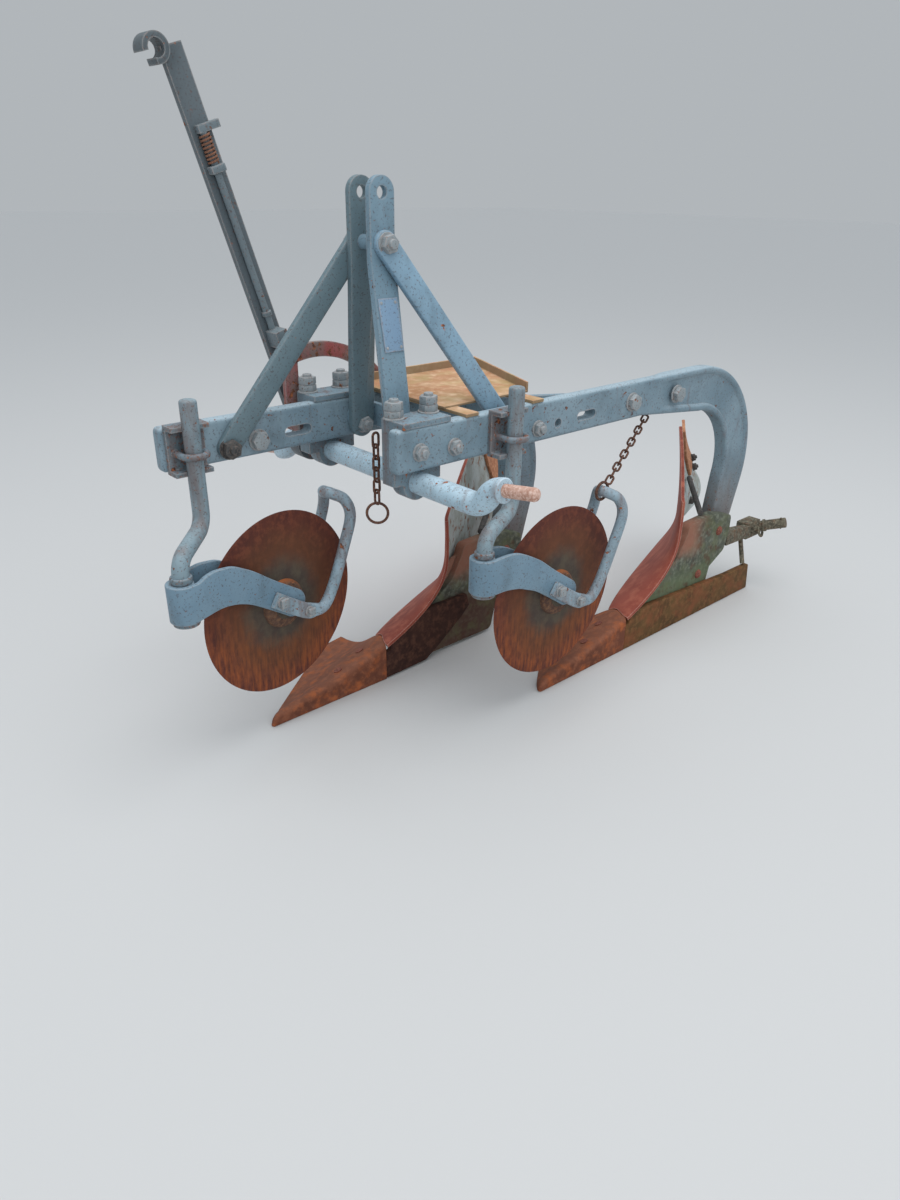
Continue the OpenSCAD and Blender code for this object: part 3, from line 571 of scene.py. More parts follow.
def make_patches():
    """Patches: cloud noise of one size, broken up by finer noise, cut at a level set by Amount.
    Streak draws the patches out downward."""
    tree, given, out = group("patches", {
        "Size": 40.0, "Amount": 0.5, "Softness": 0.1, "Streak": 1.0, "Seed": 0.0}, {"Mask": "Float"})
    place = wire(tree, "ShaderNodeVectorMath", {"operation": "SCALE"}, i0=object_place(tree))
    tree.links.new(number(tree, "DIVIDE", 1000.0, given["Size"]), place.inputs["Scale"])
    x, y, z = split(tree, place.outputs[0])
    drawn = wire(tree, "ShaderNodeCombineXYZ", X=x, Y=y, Z=number(tree, "DIVIDE", z, given["Streak"]))
    clouds = wire(tree, "ShaderNodeTexNoise", {"noise_dimensions": "4D"},
                  Vector=drawn.outputs[0], W=given["Seed"], Scale=1.0, Detail=6.0, Roughness=0.62)
    level = number(tree, "SUBTRACT", 0.76, product(tree, given["Amount"], 0.5))
    low = number(tree, "SUBTRACT", level, given["Softness"])
    high = number(tree, "ADD", level, given["Softness"])
    tree.links.new(ramped(tree, clouds.outputs["Fac"], low, high), out["Mask"])
    return tree


def make_worn_edges():
    """Worn edges: where a rounded copy of the normal leaves the true normal, broken up by noise."""
    tree, given, out = group("worn edges", {"Width": 3.0, "Amount": 0.5, "Break": 12.0}, {"Mask": "Float"})
    bevel = wire(tree, "ShaderNodeBevel", {"samples": 4}, Radius=product(tree, given["Width"], 0.001))
    alike = wire(tree, "ShaderNodeVectorMath", {"operation": "DOT_PRODUCT"},
                 i0=bevel.outputs[0], i1=true_normal(tree))
    bend = one_less(tree, alike.outputs["Value"])
    scale = number(tree, "DIVIDE", 1000.0, given["Break"])
    clouds = noise(tree, object_place(tree), scale, 4.0, 0.65)
    cut = product(tree, product(tree, clouds, one_less(tree, given["Amount"])), 0.25)
    tree.links.new(ramped(tree, bend, cut, number(tree, "ADD", cut, 0.05)), out["Mask"])
    return tree


def make_upward():
    """Upward: one where the surface looks up, and less by the noise of the given size."""
    tree, given, out = group("upward", {"Size": 60.0, "Spread": 0.5}, {"Mask": "Float"})
    up = split(tree, true_normal(tree))[2]
    clouds = noise(tree, object_place(tree), number(tree, "DIVIDE", 1000.0, given["Size"]), 5.0)
    seen = number(tree, "MULTIPLY_ADD", clouds, given["Spread"], up)
    tree.links.new(ramped(tree, seen, 0.45, 1.35), out["Mask"])
    return tree


def make_height():
    """Height: zero below Low and one above High, in millimetres above the floor, with a ragged line."""
    tree, given, out = group("height", {"Low": 0.0, "High": 100.0, "Ragged": 30.0}, {"Mask": "Float"})
    place = object_place(tree)
    z = product(tree, split(tree, place)[2], 1000.0)
    shift = ragged_by(tree, place, given["Ragged"], 22.0, 5.0, 0.6)
    tree.links.new(ramped(tree, number(tree, "ADD", z, shift), given["Low"], given["High"]), out["Mask"])
    return tree


def make_ring_distance():
    """Distance from a disc's middle in millimetres, with a ragged edge from noise."""
    tree, given, out = group("ring distance", {"Centre": (0, 0, 0), "Ragged": 20.0}, {"Distance": "Float"})
    place = object_place(tree)
    away = wire(tree, "ShaderNodeVectorMath", {"operation": "DISTANCE"}, i0=place, i1=given["Centre"])
    shift = ragged_by(tree, place, given["Ragged"], 26.0, 6.0, 0.65)
    tree.links.new(number(tree, "MULTIPLY_ADD", away.outputs["Value"], 1000.0, shift), out["Distance"])
    return tree


def make_rust_skin():
    """Rust skin: three tones of one rust by two sizes of noise, and a pitted height."""
    tree, given, out = group("rust skin", {
        "Dark": (0.1, 0.05, 0.03, 1), "Middle": (0.2, 0.1, 0.05, 1), "Light": (0.3, 0.15, 0.08, 1),
        "Size": 60.0, "Streak": 1.0}, {"Color": "Color", "Height": "Float"})
    broad = spotted(tree, given["Size"], 0.52, 0.16, 3.0, given["Streak"])
    small = spotted(tree, product(tree, given["Size"], 0.22), 0.42, 0.12, 8.0, given["Streak"])
    colour = mixed(tree, given["Dark"], given["Middle"], broad)
    colour = mixed(tree, colour, given["Light"], small)
    pits = noise(tree, object_place(tree), 420.0, 5.0, 0.7)
    tree.links.new(colour, out["Color"])
    tree.links.new(number(tree, "MULTIPLY_ADD", small, 0.35, pits), out["Height"])
    return tree


def make_nearness():
    """Nearness: zero below Low and one above High, in millimetres along a way, with a ragged line."""
    tree, given, out = group("nearness", {
        "Way": (0, 1, 0), "Low": 0.0, "High": 100.0, "Ragged": 30.0}, {"Mask": "Float"})
    place = object_place(tree)
    along = wire(tree, "ShaderNodeVectorMath", {"operation": "DOT_PRODUCT"}, i0=place, i1=given["Way"])
    shift = ragged_by(tree, place, given["Ragged"], 18.0, 5.0, 0.6)
    far = number(tree, "MULTIPLY_ADD", along.outputs["Value"], 1000.0, shift)
    tree.links.new(ramped(tree, far, given["Low"], given["High"]), out["Mask"])
    return tree


patches = make_patches()
worn_edges = make_worn_edges()
upward = make_upward()
height = make_height()
ring_distance = make_ring_distance()
nearness = make_nearness()
rust_skin = make_rust_skin()


# Materials

def tone(r, g, b):
    """A colour with full alpha."""
    return (r, g, b, 1.0)


scene_light = 0.92


def screen(r, g, b):
    """The surface colour that looks like a screen colour of 0 to 255 in the scene's light."""
    straight = ((np.array([r, g, b]) / 255 + 0.055) / 1.055) ** 2.4
    return tone(*(float(part) for part in straight / scene_light))


blue_grey = tone(0.150, 0.228, 0.278)
pale_blue = tone(0.26, 0.37, 0.44)
deep_blue = tone(0.072, 0.106, 0.126)
bright_rust = screen(172, 100, 58)
brown_rust = screen(104, 66, 48)
dark_rust = screen(66, 44, 38)


def new_material(name):
    """A material with its shader, and the tree it is in."""
    material = bpy.data.materials.new(name)
    material.use_nodes = True
    tree = material.node_tree
    shader = tree.nodes["Principled BSDF"]
    return material, tree, shader


def rust_of(tree, dark, middle, light, size, streak=1.0):
    """The colour and the pitted height of rust in three tones."""
    node = wire(tree, "ShaderNodeGroup", {"node_tree": rust_skin},
                Dark=dark, Middle=middle, Light=light, Size=size, Streak=streak)
    return node.outputs["Color"], node.outputs["Height"]


def over(tree, below, above, mask, amount=1.0):
    """Lays a colour over another where the mask is."""
    return mixed(tree, below, above, number(tree, "MULTIPLY", mask, amount, clamp=True))


def bumped(tree, shader, height_above, distance, strength):
    """Feeds a height to the shader's normal."""
    bump = wire(tree, "ShaderNodeBump", Height=height_above, Strength=strength, Distance=distance)
    tree.links.new(bump.outputs[0], shader.inputs["Normal"])


def surfaced(tree, shader, colour, rough, specular):
    """Feeds a colour to the shader and sets how dull it is."""
    tree.links.new(colour, shader.inputs["Base Color"])
    shader.inputs["Roughness"].default_value = rough
    shader.inputs["Specular IOR Level"].default_value = specular


def old_paint(name, base=blue_grey, pale=pale_blue, deep=deep_blue, chips=0.30, wear=0.55, streaks=0.25,
              top_dust_and_highlight=0.5, under=brown_rust, rough=0.5, stain=0.3, mud=0.0):
    """Old brushed paint: it is paler on top, partly from dust and partly a painted highlight, darkens in
    patches, is chipped to rust at its edges, which are also paler, partly worn and partly a painted
    highlight, and has rust run down from the chips. Mud is how brown it gets near the floor."""
    material, tree, shader = new_material(name)
    broad = spotted(tree, 150.0, 0.5, 0.2, 1.0)
    dark = spotted(tree, 60.0, stain, 0.14, 2.0, 2.0)
    colour = over(tree, base, pale, broad, 0.34)
    colour = over(tree, colour, deep, dark, 0.55)
    # Upward faces are laid paler: partly dust, partly a painted highlight from the light above.
    colour = over(tree, colour, pale, placed(tree, upward, Size=70.0, Spread=0.5), top_dust_and_highlight)
    run = spotted(tree, 26.0, streaks, 0.10, 4.0, 6.0)
    colour = over(tree, colour, brown_rust, run, 0.5)
    if mud:
        clean = placed(tree, height, Low=190.0, High=430.0, Ragged=90.0)
        colour = over(tree, colour, screen(112, 98, 90), one_less(tree, clean), mud)
    chip = spotted(tree, 17.0, chips, 0.02, 5.0)
    fine = spotted(tree, 6.0, chips * 1.1, 0.03, 6.0)
    specks = spotted(tree, 4.0, 0.34, 0.03, 7.0)
    colour = over(tree, colour, dark_rust, specks, 0.55)
    edge = placed(tree, worn_edges, Width=4.5, Amount=wear, Break=11.0)
    # Edges are laid pale: partly worn paint, partly a painted highlight along the edges.
    colour = over(tree, colour, screen(176, 188, 190), edge, 0.7)
    bare = number(tree, "MAXIMUM", chip, product(tree, fine, 0.7))
    bare = number(tree, "MAXIMUM", bare, product(tree, edge, 0.4))
    rusty, _ = rust_of(tree, dark_rust, under, bright_rust, 24.0)
    colour = over(tree, colour, rusty, bare)
    tree.links.new(colour, shader.inputs["Base Color"])
    tree.links.new(number(tree, "MULTIPLY_ADD", bare, 0.38, rough), shader.inputs["Roughness"])
    brush = noise(tree, object_place(tree), 160.0, 4.0)
    relief = number(tree, "ADD", product(tree, bare, -1.2), product(tree, brush, 0.35))
    bumped(tree, shader, relief, 0.0005, 0.5)
    return material


def rusted(name, dark, middle, light, size, extra=(), rough=0.86, relief=0.0005, edges=0.35):
    """Bare rusted steel in three tones. extra lays (mask maker, colour, amount) over it in turn."""
    material, tree, shader = new_material(name)
    colour, pits = rust_of(tree, dark, middle, light, size)
    for mask, above, amount in extra:
        colour = over(tree, colour, above, mask(tree), amount)
    edge = placed(tree, worn_edges, Width=3.0, Amount=0.6, Break=14.0)
    surfaced(tree, shader, over(tree, colour, light, edge, edges), rough, 0.25)
    bumped(tree, shader, pits, relief, 0.55)
    return material


def mask_of(made, **inputs):
    """A maker of a group's mask, which is placed when it is given a tree."""
    return lambda tree: placed(tree, made, **inputs)


beam_paint = old_paint("beam_paint", pale=tone(0.42, 0.53, 0.59), chips=0.20, wear=0.5, streaks=0.22,
                       top_dust_and_highlight=0.75, mud=0.75)
bar_paint = old_paint("headstock_paint", base=tone(0.155, 0.25, 0.315), chips=0.18, wear=0.5, streaks=0.2)
dull_bar_paint = old_paint("dull_bar_paint", base=tone(0.112, 0.172, 0.198), pale=tone(0.21, 0.29, 0.32),
                           chips=0.16, wear=0.5, streaks=0.14)
pale_bar_paint = old_paint("pale_bar_paint", base=tone(0.195, 0.32, 0.42), pale=tone(0.32, 0.45, 0.54),
                           chips=0.2, wear=0.5, streaks=0.2)
shaft_paint = old_paint("shaft_paint", base=tone(0.40, 0.55, 0.64), pale=tone(0.64, 0.79, 0.88), chips=0.22,
                        wear=0.4, streaks=0.24, under=bright_rust, rough=0.38)
stalk_paint = old_paint("stalk_paint", base=tone(0.20, 0.28, 0.32), pale=tone(0.31, 0.40, 0.44), chips=0.24,
                        wear=0.6, streaks=0.42)
fork_paint = old_paint("fork_paint", base=tone(0.14, 0.235, 0.31), pale=tone(0.30, 0.41, 0.48), chips=0.15,
                       wear=0.5, streaks=0.12)
guard_paint = old_paint("guard_paint", base=tone(0.24, 0.335, 0.39), pale=tone(0.40, 0.50, 0.57), chips=0.26,
                        wear=0.45, streaks=0.4, top_dust_and_highlight=0.35, rough=0.42)
lever_paint = old_paint("lever_paint", base=tone(0.085, 0.108, 0.122), pale=tone(0.14, 0.17, 0.185),
                        deep=tone(0.05, 0.064, 0.072), chips=0.22, wear=0.45, streaks=0.15, top_dust_and_highlight=0.3)
latch_paint = old_paint("latch_paint", base=tone(0.12, 0.155, 0.175), pale=tone(0.22, 0.27, 0.29),
                        deep=tone(0.06, 0.074, 0.082), chips=0.24, wear=0.5, streaks=0.2, top_dust_and_highlight=0.6)
clamp_paint = old_paint("clamp_paint", base=tone(0.15, 0.20, 0.225), chips=0.34, wear=0.7, streaks=0.5,
                        stain=0.5)
bracket_paint = old_paint("bracket_paint", base=tone(0.155, 0.22, 0.26), chips=0.26, wear=0.65, streaks=0.35,
                          stain=0.42)
plate_paint = old_paint("blank_plate_paint", base=tone(0.18, 0.29, 0.42), pale=tone(0.26, 0.38, 0.47),
                        chips=0.15, wear=0.5, streaks=0.1)
nut_paint = old_paint("nut_paint", base=tone(0.24, 0.275, 0.29), pale=tone(0.42, 0.45, 0.46), chips=0.26,
                      wear=0.6, streaks=0.2)
red_paint = old_paint("quadrant_paint", base=screen(112, 98, 94), pale=screen(138, 122, 116),
                      deep=screen(178, 38, 46), chips=0.34, wear=0.7, streaks=0.3, stain=0.5)


def sides_in_painted_shade(tree):
    """A mask that is one on faces that don't look up."""
    return one_less(tree, placed(tree, upward, Size=40.0, Spread=0.3))


def spots(size, amount, softness, seed):
    """A maker of a mask of patches."""
    return lambda tree: spotted(tree, size, amount, softness, seed)


# The tray's faces that don't look up are laid darker: painted shade on its sides and underside.
tray_rust = rusted("tray_rust", screen(172, 128, 92), screen(202, 164, 128), screen(220, 188, 156), 110.0, [
    (spots(90.0, 0.44, 0.16, 31.0), screen(176, 116, 84), 0.75),
    (spots(60.0, 0.40, 0.14, 36.0), screen(168, 146, 98), 0.7),
    (sides_in_painted_shade, screen(124, 108, 84), 0.8)])
# The share's rust tones are set darker, partly its own rust and partly painted shade; faces that look up are
# laid lighter, a painted highlight.
share_rust_and_painted_light = rusted("share_rust_and_painted_light", screen(94, 56, 42), screen(112, 66, 48), screen(130, 80, 58), 80.0, [
    (mask_of(upward, Size=50.0, Spread=0.4), screen(150, 100, 78), 0.4),
    (spots(26.0, 0.36, 0.12, 33.0), screen(180, 98, 52), 0.6)], edges=0.2, relief=0.0003)
tail_rust = rusted("tail_rust", screen(150, 98, 72), screen(176, 120, 88), screen(196, 146, 112), 40.0)
landside_rust = rusted("landside_rust", screen(76, 56, 34), screen(98, 73, 43), screen(116, 84, 52), 60.0, [
    (spots(40.0, 0.42, 0.14, 12.0), screen(128, 74, 48), 0.7)], relief=0.0003)
# The front landside's darker red-brown is partly its own rust and partly painted shade.
front_landside_rust_and_shade = rusted("front_landside_rust_and_shade", screen(48, 28, 24), screen(62, 38, 31),
                             screen(84, 54, 42), 60.0, relief=0.0003)
chain_rust = rusted("chain_rust", screen(62, 44, 40), screen(88, 62, 52), screen(122, 86, 68), 16.0)
pin_rust = rusted("pin_rust", screen(164, 120, 102), screen(196, 160, 144), screen(214, 186, 172), 22.0,
                  rough=0.7)
bolt_rust = rusted("bolt_rust", screen(88, 62, 52), screen(116, 80, 64), screen(146, 106, 84), 12.0)
red_bolt_rust = rusted("red_bolt_rust", screen(96, 56, 50), screen(126, 74, 62), screen(150, 96, 76), 12.0)
dark_iron = rusted("dark_iron", tone(0.040, 0.041, 0.043), tone(0.085, 0.084, 0.082), tone(0.14, 0.115, 0.10),
                   20.0, rough=0.7)
stub_rust = rusted("stub_rust", screen(70, 66, 58), screen(98, 92, 78), screen(132, 126, 108), 24.0, [
    (spots(18.0, 0.36, 0.1, 35.0), screen(110, 74, 54), 0.7)])
hub_rust = rusted("hub_rust", screen(78, 58, 50), screen(96, 72, 60), screen(120, 88, 66), 30.0, [
    (mask_of(upward, Size=40.0, Spread=0.3), screen(168, 96, 50), 0.8)])


def frog_cast(name, shift, bare):
    """A frog's worn paint: grey, rusty toward the shin, and turned to the tone bare near the floor, which on
    the front frog is partly painted shade.
    """
    tip = share_tip_y + shift[1] - middle_y

    def near_shin(tree):
        behind = placed(tree, nearness, Way=(0, 1, 0), Ragged=60.0, Low=tip + 540, High=tip + 620)
        high_up = placed(tree, height, Low=150.0, High=205.0, Ragged=50.0)
        return product(tree, one_less(tree, behind), high_up)

    def low_down(tree):
        return one_less(tree, placed(tree, height, Low=95.0, High=160.0, Ragged=70.0))

    return rusted(name, screen(70, 72, 64), screen(92, 96, 86), screen(116, 120, 106), 55.0, [
        (low_down, bare, 0.75),
        (spots(40.0, 0.40, 0.12, 14.0), screen(100, 104, 72), 0.6),
        (spots(26.0, 0.34, 0.08, 15.0), screen(88, 62, 48), 0.7),
        (near_shin, screen(146, 98, 80), 0.85)])


rear_frog_cast = frog_cast("rear_frog_cast", np.zeros(3), screen(100, 112, 84))
# The front frog's dark red-brown low tone is partly its own rust and partly painted shade.
front_frog_cast_and_shade = frog_cast("front_frog_cast_and_shade", right_shift, screen(84, 52, 42))


def board_coat(name):
    """A mouldboard's smooth red-brown front and its pale grey back, told apart by the face's normal."""
    material, tree, shader = new_material(name)
    rust, pits = rust_of(tree, screen(126, 60, 47), screen(146, 73, 58), screen(162, 90, 70), 120.0, 2.0)
    worn = placed(tree, worn_edges, Width=3.0, Amount=0.7, Break=30.0)
    front = over(tree, rust, screen(205, 170, 155), worn, 0.6)
    back = over(tree, screen(176, 184, 182), screen(146, 150, 142), spotted(tree, 60.0, 0.5, 0.15, 41.0))
    back = over(tree, back, screen(130, 92, 70), spotted(tree, 22.0, 0.34, 0.05, 42.0))
    rearward = split(tree, true_normal(tree))[1]
    surfaced(tree, shader, over(tree, front, back, ramped(tree, rearward, 0.12, 0.2)), 0.7, 0.3)
    bumped(tree, shader, pits, 0.0002, 0.4)
    return material


board_paint = board_coat("board_paint")


def disc_rust(coulter):
    """A disc's rust: dark red-brown at the rim, orange round streaks inside it, grey-brown in the middle."""
    material, tree, shader = new_material(coulter["name"] + "_disc_rust")
    colour, pits = rust_of(tree, screen(74, 40, 35), screen(90, 48, 40), screen(106, 58, 44), 70.0)
    distance = placed(tree, ring_distance, Centre=in_frame(coulter["axle"]), Ragged=44.0)
    axle_z = coulter["axle_z"]
    low = one_less(tree, placed(tree, height, Low=axle_z - 90, High=axle_z + 60, Ragged=90.0))
    streaky = spotted(tree, 7.0, 0.5, 0.16, 21.0, 6.0)
    warm = product(tree, number(tree, "MULTIPLY_ADD", low, 0.9, 0.1), streaky)
    colour = over(tree, colour, screen(156, 84, 43), warm, 0.7)
    colour = over(tree, colour, screen(98, 66, 42), one_less(tree, ramped(tree, distance, 104.0, 176.0)), 0.5)
    grey = over(tree, screen(66, 60, 56), screen(84, 78, 66), spotted(tree, 30.0, 0.5, 0.15, 22.0))
    colour = over(tree, colour, grey, one_less(tree, ramped(tree, distance, 62.0, 108.0)), 0.9)
    surfaced(tree, shader, colour, 0.8, 0.25)
    bumped(tree, shader, pits, 0.0003, 0.5)
    return material


# Beams

def edge_inset(distance, edge):
    """How far a rounded end draws in at a distance from the end: a quarter circle of radius edge."""
    near = np.clip(edge - distance, 0, edge)
    return edge - np.sqrt(np.maximum(edge ** 2 - near ** 2, 0))


def beam_shape(front):
    """A beam: a section carried from the front along the straight, round the curve and down the leg.
    Each section runs between the outer and the inner edge line. It is a flat bar at the front, and its
    two sides sink to a web between rims behind rim_start."""
    centre = np.array([curve_y, beam_top - curve_outer_r])
    start = np.array([0, 1, 2.5, 5, 9])
    straight = np.concatenate([front + start, np.linspace(front + 30, curve_y - 12, 52)])
    slant = np.clip((straight - (rim_start - 40)) / (curve_y - rim_start + 40), 0, 1)
    inner_top = centre[1] + curve_inner_r
    outer = np.stack([straight, np.full_like(straight, beam_top)], -1)
    inner_z = beam_top - beam_depth + (inner_top - beam_top + beam_depth) * slant
    inner = np.stack([straight, inner_z], -1)
    outer_arc = arc(centre, curve_outer_r, 90, -math.degrees(leg_lean), 36)
    inner_arc = arc(centre, curve_inner_r, 90, -math.degrees(leg_lean), 36)
    leg_rise = centre[1] - leg_bottom - curve_outer_r * math.sin(leg_lean)
    foot_back = centre[0] + curve_outer_r * math.cos(leg_lean) - leg_rise * math.tan(leg_lean)
    t = np.linspace(0, 1, 14)[1:, None]
    outer_leg = outer_arc[-1] + ([foot_back, leg_bottom] - outer_arc[-1]) * t
    inner_leg = inner_arc[-1] + ([foot_back - leg_width, leg_bottom] - inner_arc[-1]) * t
    outer = np.concatenate([outer, outer_arc, outer_leg])
    inner = np.concatenate([inner, inner_arc, inner_leg])
    depth = np.linalg.norm(inner - outer, axis=-1)
    along = np.concatenate([[0], np.cumsum(np.linalg.norm(np.diff(outer, axis=0), axis=-1))])
    sink = (outer[:, 0] - rim_start - 10) / rim_runout
    sink = eased(np.where(np.arange(len(outer)) > len(straight) + 2, 1, sink))[:, None]
    drawn_in = edge_inset(along, beam_end_r)[:, None]
    # From the outer edge: how deep, and how much of the side's sinking that point takes
    deep = np.array([0, 0.9, 3.2, 6.5, rim_height - 3.5, rim_height, rim_height + 4, rim_height + 8])
    taken = np.array([0, 0, 0, 0, 0, 0.25, 0.9, 1.0])
    corner_in = np.array([6.5, 3.2, 0.9, 0, 0, 0, 0, 0])
    left_rim, left_web = beam_left, web_left
    right_rim = beam_right + (rim_right - beam_right) * sink
    right_web = beam_right
    left = left_rim + (left_web - left_rim) * sink * taken - corner_in - drawn_in * 0.7
    right = right_rim + (right_web - right_rim) * taken + corner_in + drawn_in * 0.7
    deep = deep + drawn_in
    far = depth[:, None] - deep
    down = np.concatenate([deep, far[:, ::-1], far, deep[:, ::-1]], 1)
    across = np.concatenate([left, left[:, ::-1], right, right[:, ::-1]], 1)
    line = outer[:, None] + unit(inner - outer)[:, None] * down[..., None]
    return skin(np.concatenate([across[..., None], line], -1))


def cut_away(piece, shapes):
    """Takes some closed shapes out of a piece and keeps the result as its mesh."""
    tool = finished(piece.name + "_cutter", shapes, piece.data.materials[0], body=None)
    cutter = piece.modifiers.new("cut", "BOOLEAN")
    cutter.operation = "DIFFERENCE"
    cutter.solver = "EXACT"
    cutter.object = tool
    keep_modified(piece)
    bpy.data.objects.remove(tool)
    smooth_shaded(piece)


def slot_cutters(shift):
    """The spare hole and the slot behind it, through a beam's flat front."""
    near, far, edge = -10, 50, 0.1
    hole_at = [beam_right, 331, beam_top - 48]
    hole = turned(rounded_drum(hole_r, near, far, edge), hole_at, [1, 0, 0], 32)
    slot_y, slot_z = 415, beam_top - 45
    ends = [arc([slot_y + slot_half * way, slot_z], hole_r, -90 * way, 180 - 90 * way, 12) for way in (1, -1)]
    slot = plate(np.concatenate(ends), near, far, side_place(beam_right), edge)
    return all_moved([hole, slot], shift)


for side, front, shift in (("left", left_beam_front, np.zeros(3)), ("right", right_beam_front, right_shift)):
    beam = finished(side + "_beam_worn", [moved(beam_shape(front - shift[1]), shift)], beam_paint,
                    nodes=[side + "_beam"])
    cut_away(beam, slot_cutters(shift))


# Headstock, braces and brackets

for node in ("left_upright", "front_brace", "rear_brace"):
    softened(node, bar_paint, 1.8)
for node in ("right_upright", "right_stay"):
    softened(node, dull_bar_paint, 1.8)
softened("left_stay", pale_bar_paint, 1.8)
for node in ("left_shaft_bracket", "right_shaft_bracket"):
    softened(node, bracket_paint, 2.0)
softened("name_plate", plate_paint, 0.6)
softened("quadrant", red_paint, 1.5)


# Cross shaft

def shaft_path(side):
    """Half of the shaft's middle line: straight out, up round one bend and back round another,
    then out along the splayed pin. The right half is the left one turned half way round."""
    a = np.linspace(0, crank_turn, 12)
    first = np.stack([crank_start + crank_bend_r * np.sin(a), crank_bend_r * (1 - np.cos(a))], -1)
    b = crank_turn - np.linspace(0, crank_turn - pin_splay, 12)[1:]
    second = first[-1] + crank_bend_r * np.stack([
        math.sin(crank_turn) - np.sin(b), np.cos(b) - math.cos(crank_turn)], -1)
    path = np.concatenate([[[0, 0]], np.linspace([60, 0], [crank_start - 12, 0], 8), first, second])
    flat = np.stack([path[:, 0], np.zeros(len(path)), path[:, 1]], -1) * [side, 1, side]
    return flat + [0, 0, shaft_z]


pin_way = np.array([math.cos(pin_splay), 0, math.sin(pin_splay)])
left_path, right_path = shaft_path(1), shaft_path(-1)
shaft_line = np.concatenate([right_path[::-1], left_path[1:]])
shaft_middle = carried(round_section(shaft_r - 0.05, 40), shaft_line, [0, 1, 0])
shoulder_thick = 8
shoulder_profile = [(0, -1), (shaft_r - 0.4, -1), (shaft_r + 0.2, 1), (shaft_r + 0.2, 5.5),
                    (shaft_r - 2, 7.6), (0, shoulder_thick)]
finished("cross_shaft_worn", [shaft_middle,
                              turned(shoulder_profile, left_path[-1], pin_way),
                              turned(shoulder_profile, right_path[-1], -pin_way)],
         shaft_paint, "cross_shaft", ["cross_shaft"])
tip = shoulder_thick + link_pin_length
pin_profile = [(0, 6), (link_pin_r, 6), (link_pin_r, tip - 6), (link_pin_r - 1.2, tip - 2.6),
               (link_pin_r - 4, tip - 0.6), (0, tip)]
for name, path, way in (("left", left_path, pin_way), ("right", right_path, -pin_way)):
    finished(name + "_link_pin", [turned(pin_profile, path[-1], way)], pin_rust, "cross_shaft")


# Stalks, clamps, forks, guards and discs

def at_coulter(coulter, points):
    """Points given sideways and back from the swivel axis and up from the axle, at their coulter."""
    points = np.asarray(points, float)
    c, s = math.cos(coulter["way"]), math.sin(coulter["way"])
    x = coulter["x"] + c * points[..., 0] - s * points[..., 1]
    y = coulter["y"] + s * points[..., 0] + c * points[..., 1]
    return np.stack([x, y, coulter["axle_z"] + points[..., 2]], -1)


def turned_to_coulter(coulter, shape):
    """A shape made sideways and back from the swivel axis and up from the axle."""
    return at_coulter(coulter, shape[0]), shape[1]


def stalk_shape(coulter):
    """A stalk: a round bar straight down, out round one bend and back round another to its pin."""
    top = coulter["nose_top"]
    over_way = unit(np.array([coulter["x"], coulter["y"]]) - coulter["stalk"])
    straight = (stalk_crank - 2 * stalk_bend_r * (1 - math.cos(stalk_bend))) / math.sin(stalk_bend)
    drop = 2 * stalk_bend_r * math.sin(stalk_bend) + straight * math.cos(stalk_bend)
    bend_top = top + collar_height + drop
    a = np.linspace(0, stalk_bend, 14)
    first = stalk_bend_r * np.stack([1 - np.cos(a), np.sin(a)], -1)
    start = first[-1] + straight * np.array([math.sin(stalk_bend), math.cos(stalk_bend)])
    b = stalk_bend - a
    second = start + stalk_bend_r * np.stack([
        np.cos(b) - math.cos(stalk_bend), math.sin(stalk_bend) - np.sin(b)], -1)
    ends = np.array([0, 1, 2.5, 5])
    heights = np.concatenate([stalk_top - ends, np.linspace(stalk_top - 12, bend_top + 8, 8)])
    upper = np.stack([np.zeros(len(heights)), heights], -1)
    line = np.concatenate([upper, [0, bend_top] + first * [1, -1], [0, bend_top] + second * [1, -1]])
    line = np.concatenate([line, [[line[-1][0], top + 4]]])
    path = np.concatenate([coulter["stalk"] + line[:, :1] * over_way, line[:, 1:]], 1)
    radius = np.full(len(path), stalk_r)
    radius[:4] = stalk_r - edge_inset(ends, 5)
    guide = [-over_way[1], over_way[0], 0]
    return carried(round_section(radius, 28), path, guide)


def swivel_fittings(coulter):
    """The collar above the fork's nose, the pin's end below it, and their washers."""
    foot = [coulter["x"], coulter["y"], 0]
    top, low = coulter["nose_top"], coulter["nose_top"] - nose_height
    return [turned(rounded_drum(stalk_r + 4, top + 0.5, top + collar_height, 2.5), foot, [0, 0, 1]),
            turned(rounded_drum(stalk_r - 1, low - 10, top + 4, 2), foot, [0, 0, 1]),
            turned(rounded_drum(stalk_r + 8, low - 7.8, low - 0.6, 1.5), foot, [0, 0, 1])]


def arm_edges(coulter, y):
    """Upper and lower edge of a fork's arm above the axle, at a distance back from the swivel axis:
    an arch from the nose that falls to a round end about the axle."""
    end = trail + arm_end_back
    upper_end = (end + arm_end_half, arm_end_rise + arm_end_height)
    lower_end = (end - arm_end_half, arm_end_rise - arm_end_height)
    upper = coulter["arm_start"] + [(89, 120), (112, 108), (135, 94), (171, 67), upper_end]
    lower = coulter["arm_foot"] + [(95, 47), (118, 37), (142, 22), (166, 6), (191, -11), lower_end]
    upper, lower = smooth_path(upper, 8), smooth_path(lower, 8)
    top = np.interp(y, upper[:, 0], upper[:, 1])
    bottom = np.interp(y, lower[:, 0], lower[:, 1])
    round_end = np.sqrt(arm_end_r ** 2 - np.clip(y - end, -arm_end_r, arm_end_r) ** 2)
    top = np.where(y > upper_end[0], arm_end_rise + round_end, top)
    bottom = np.where(y > lower_end[0], arm_end_rise - round_end, bottom)
    return top, bottom


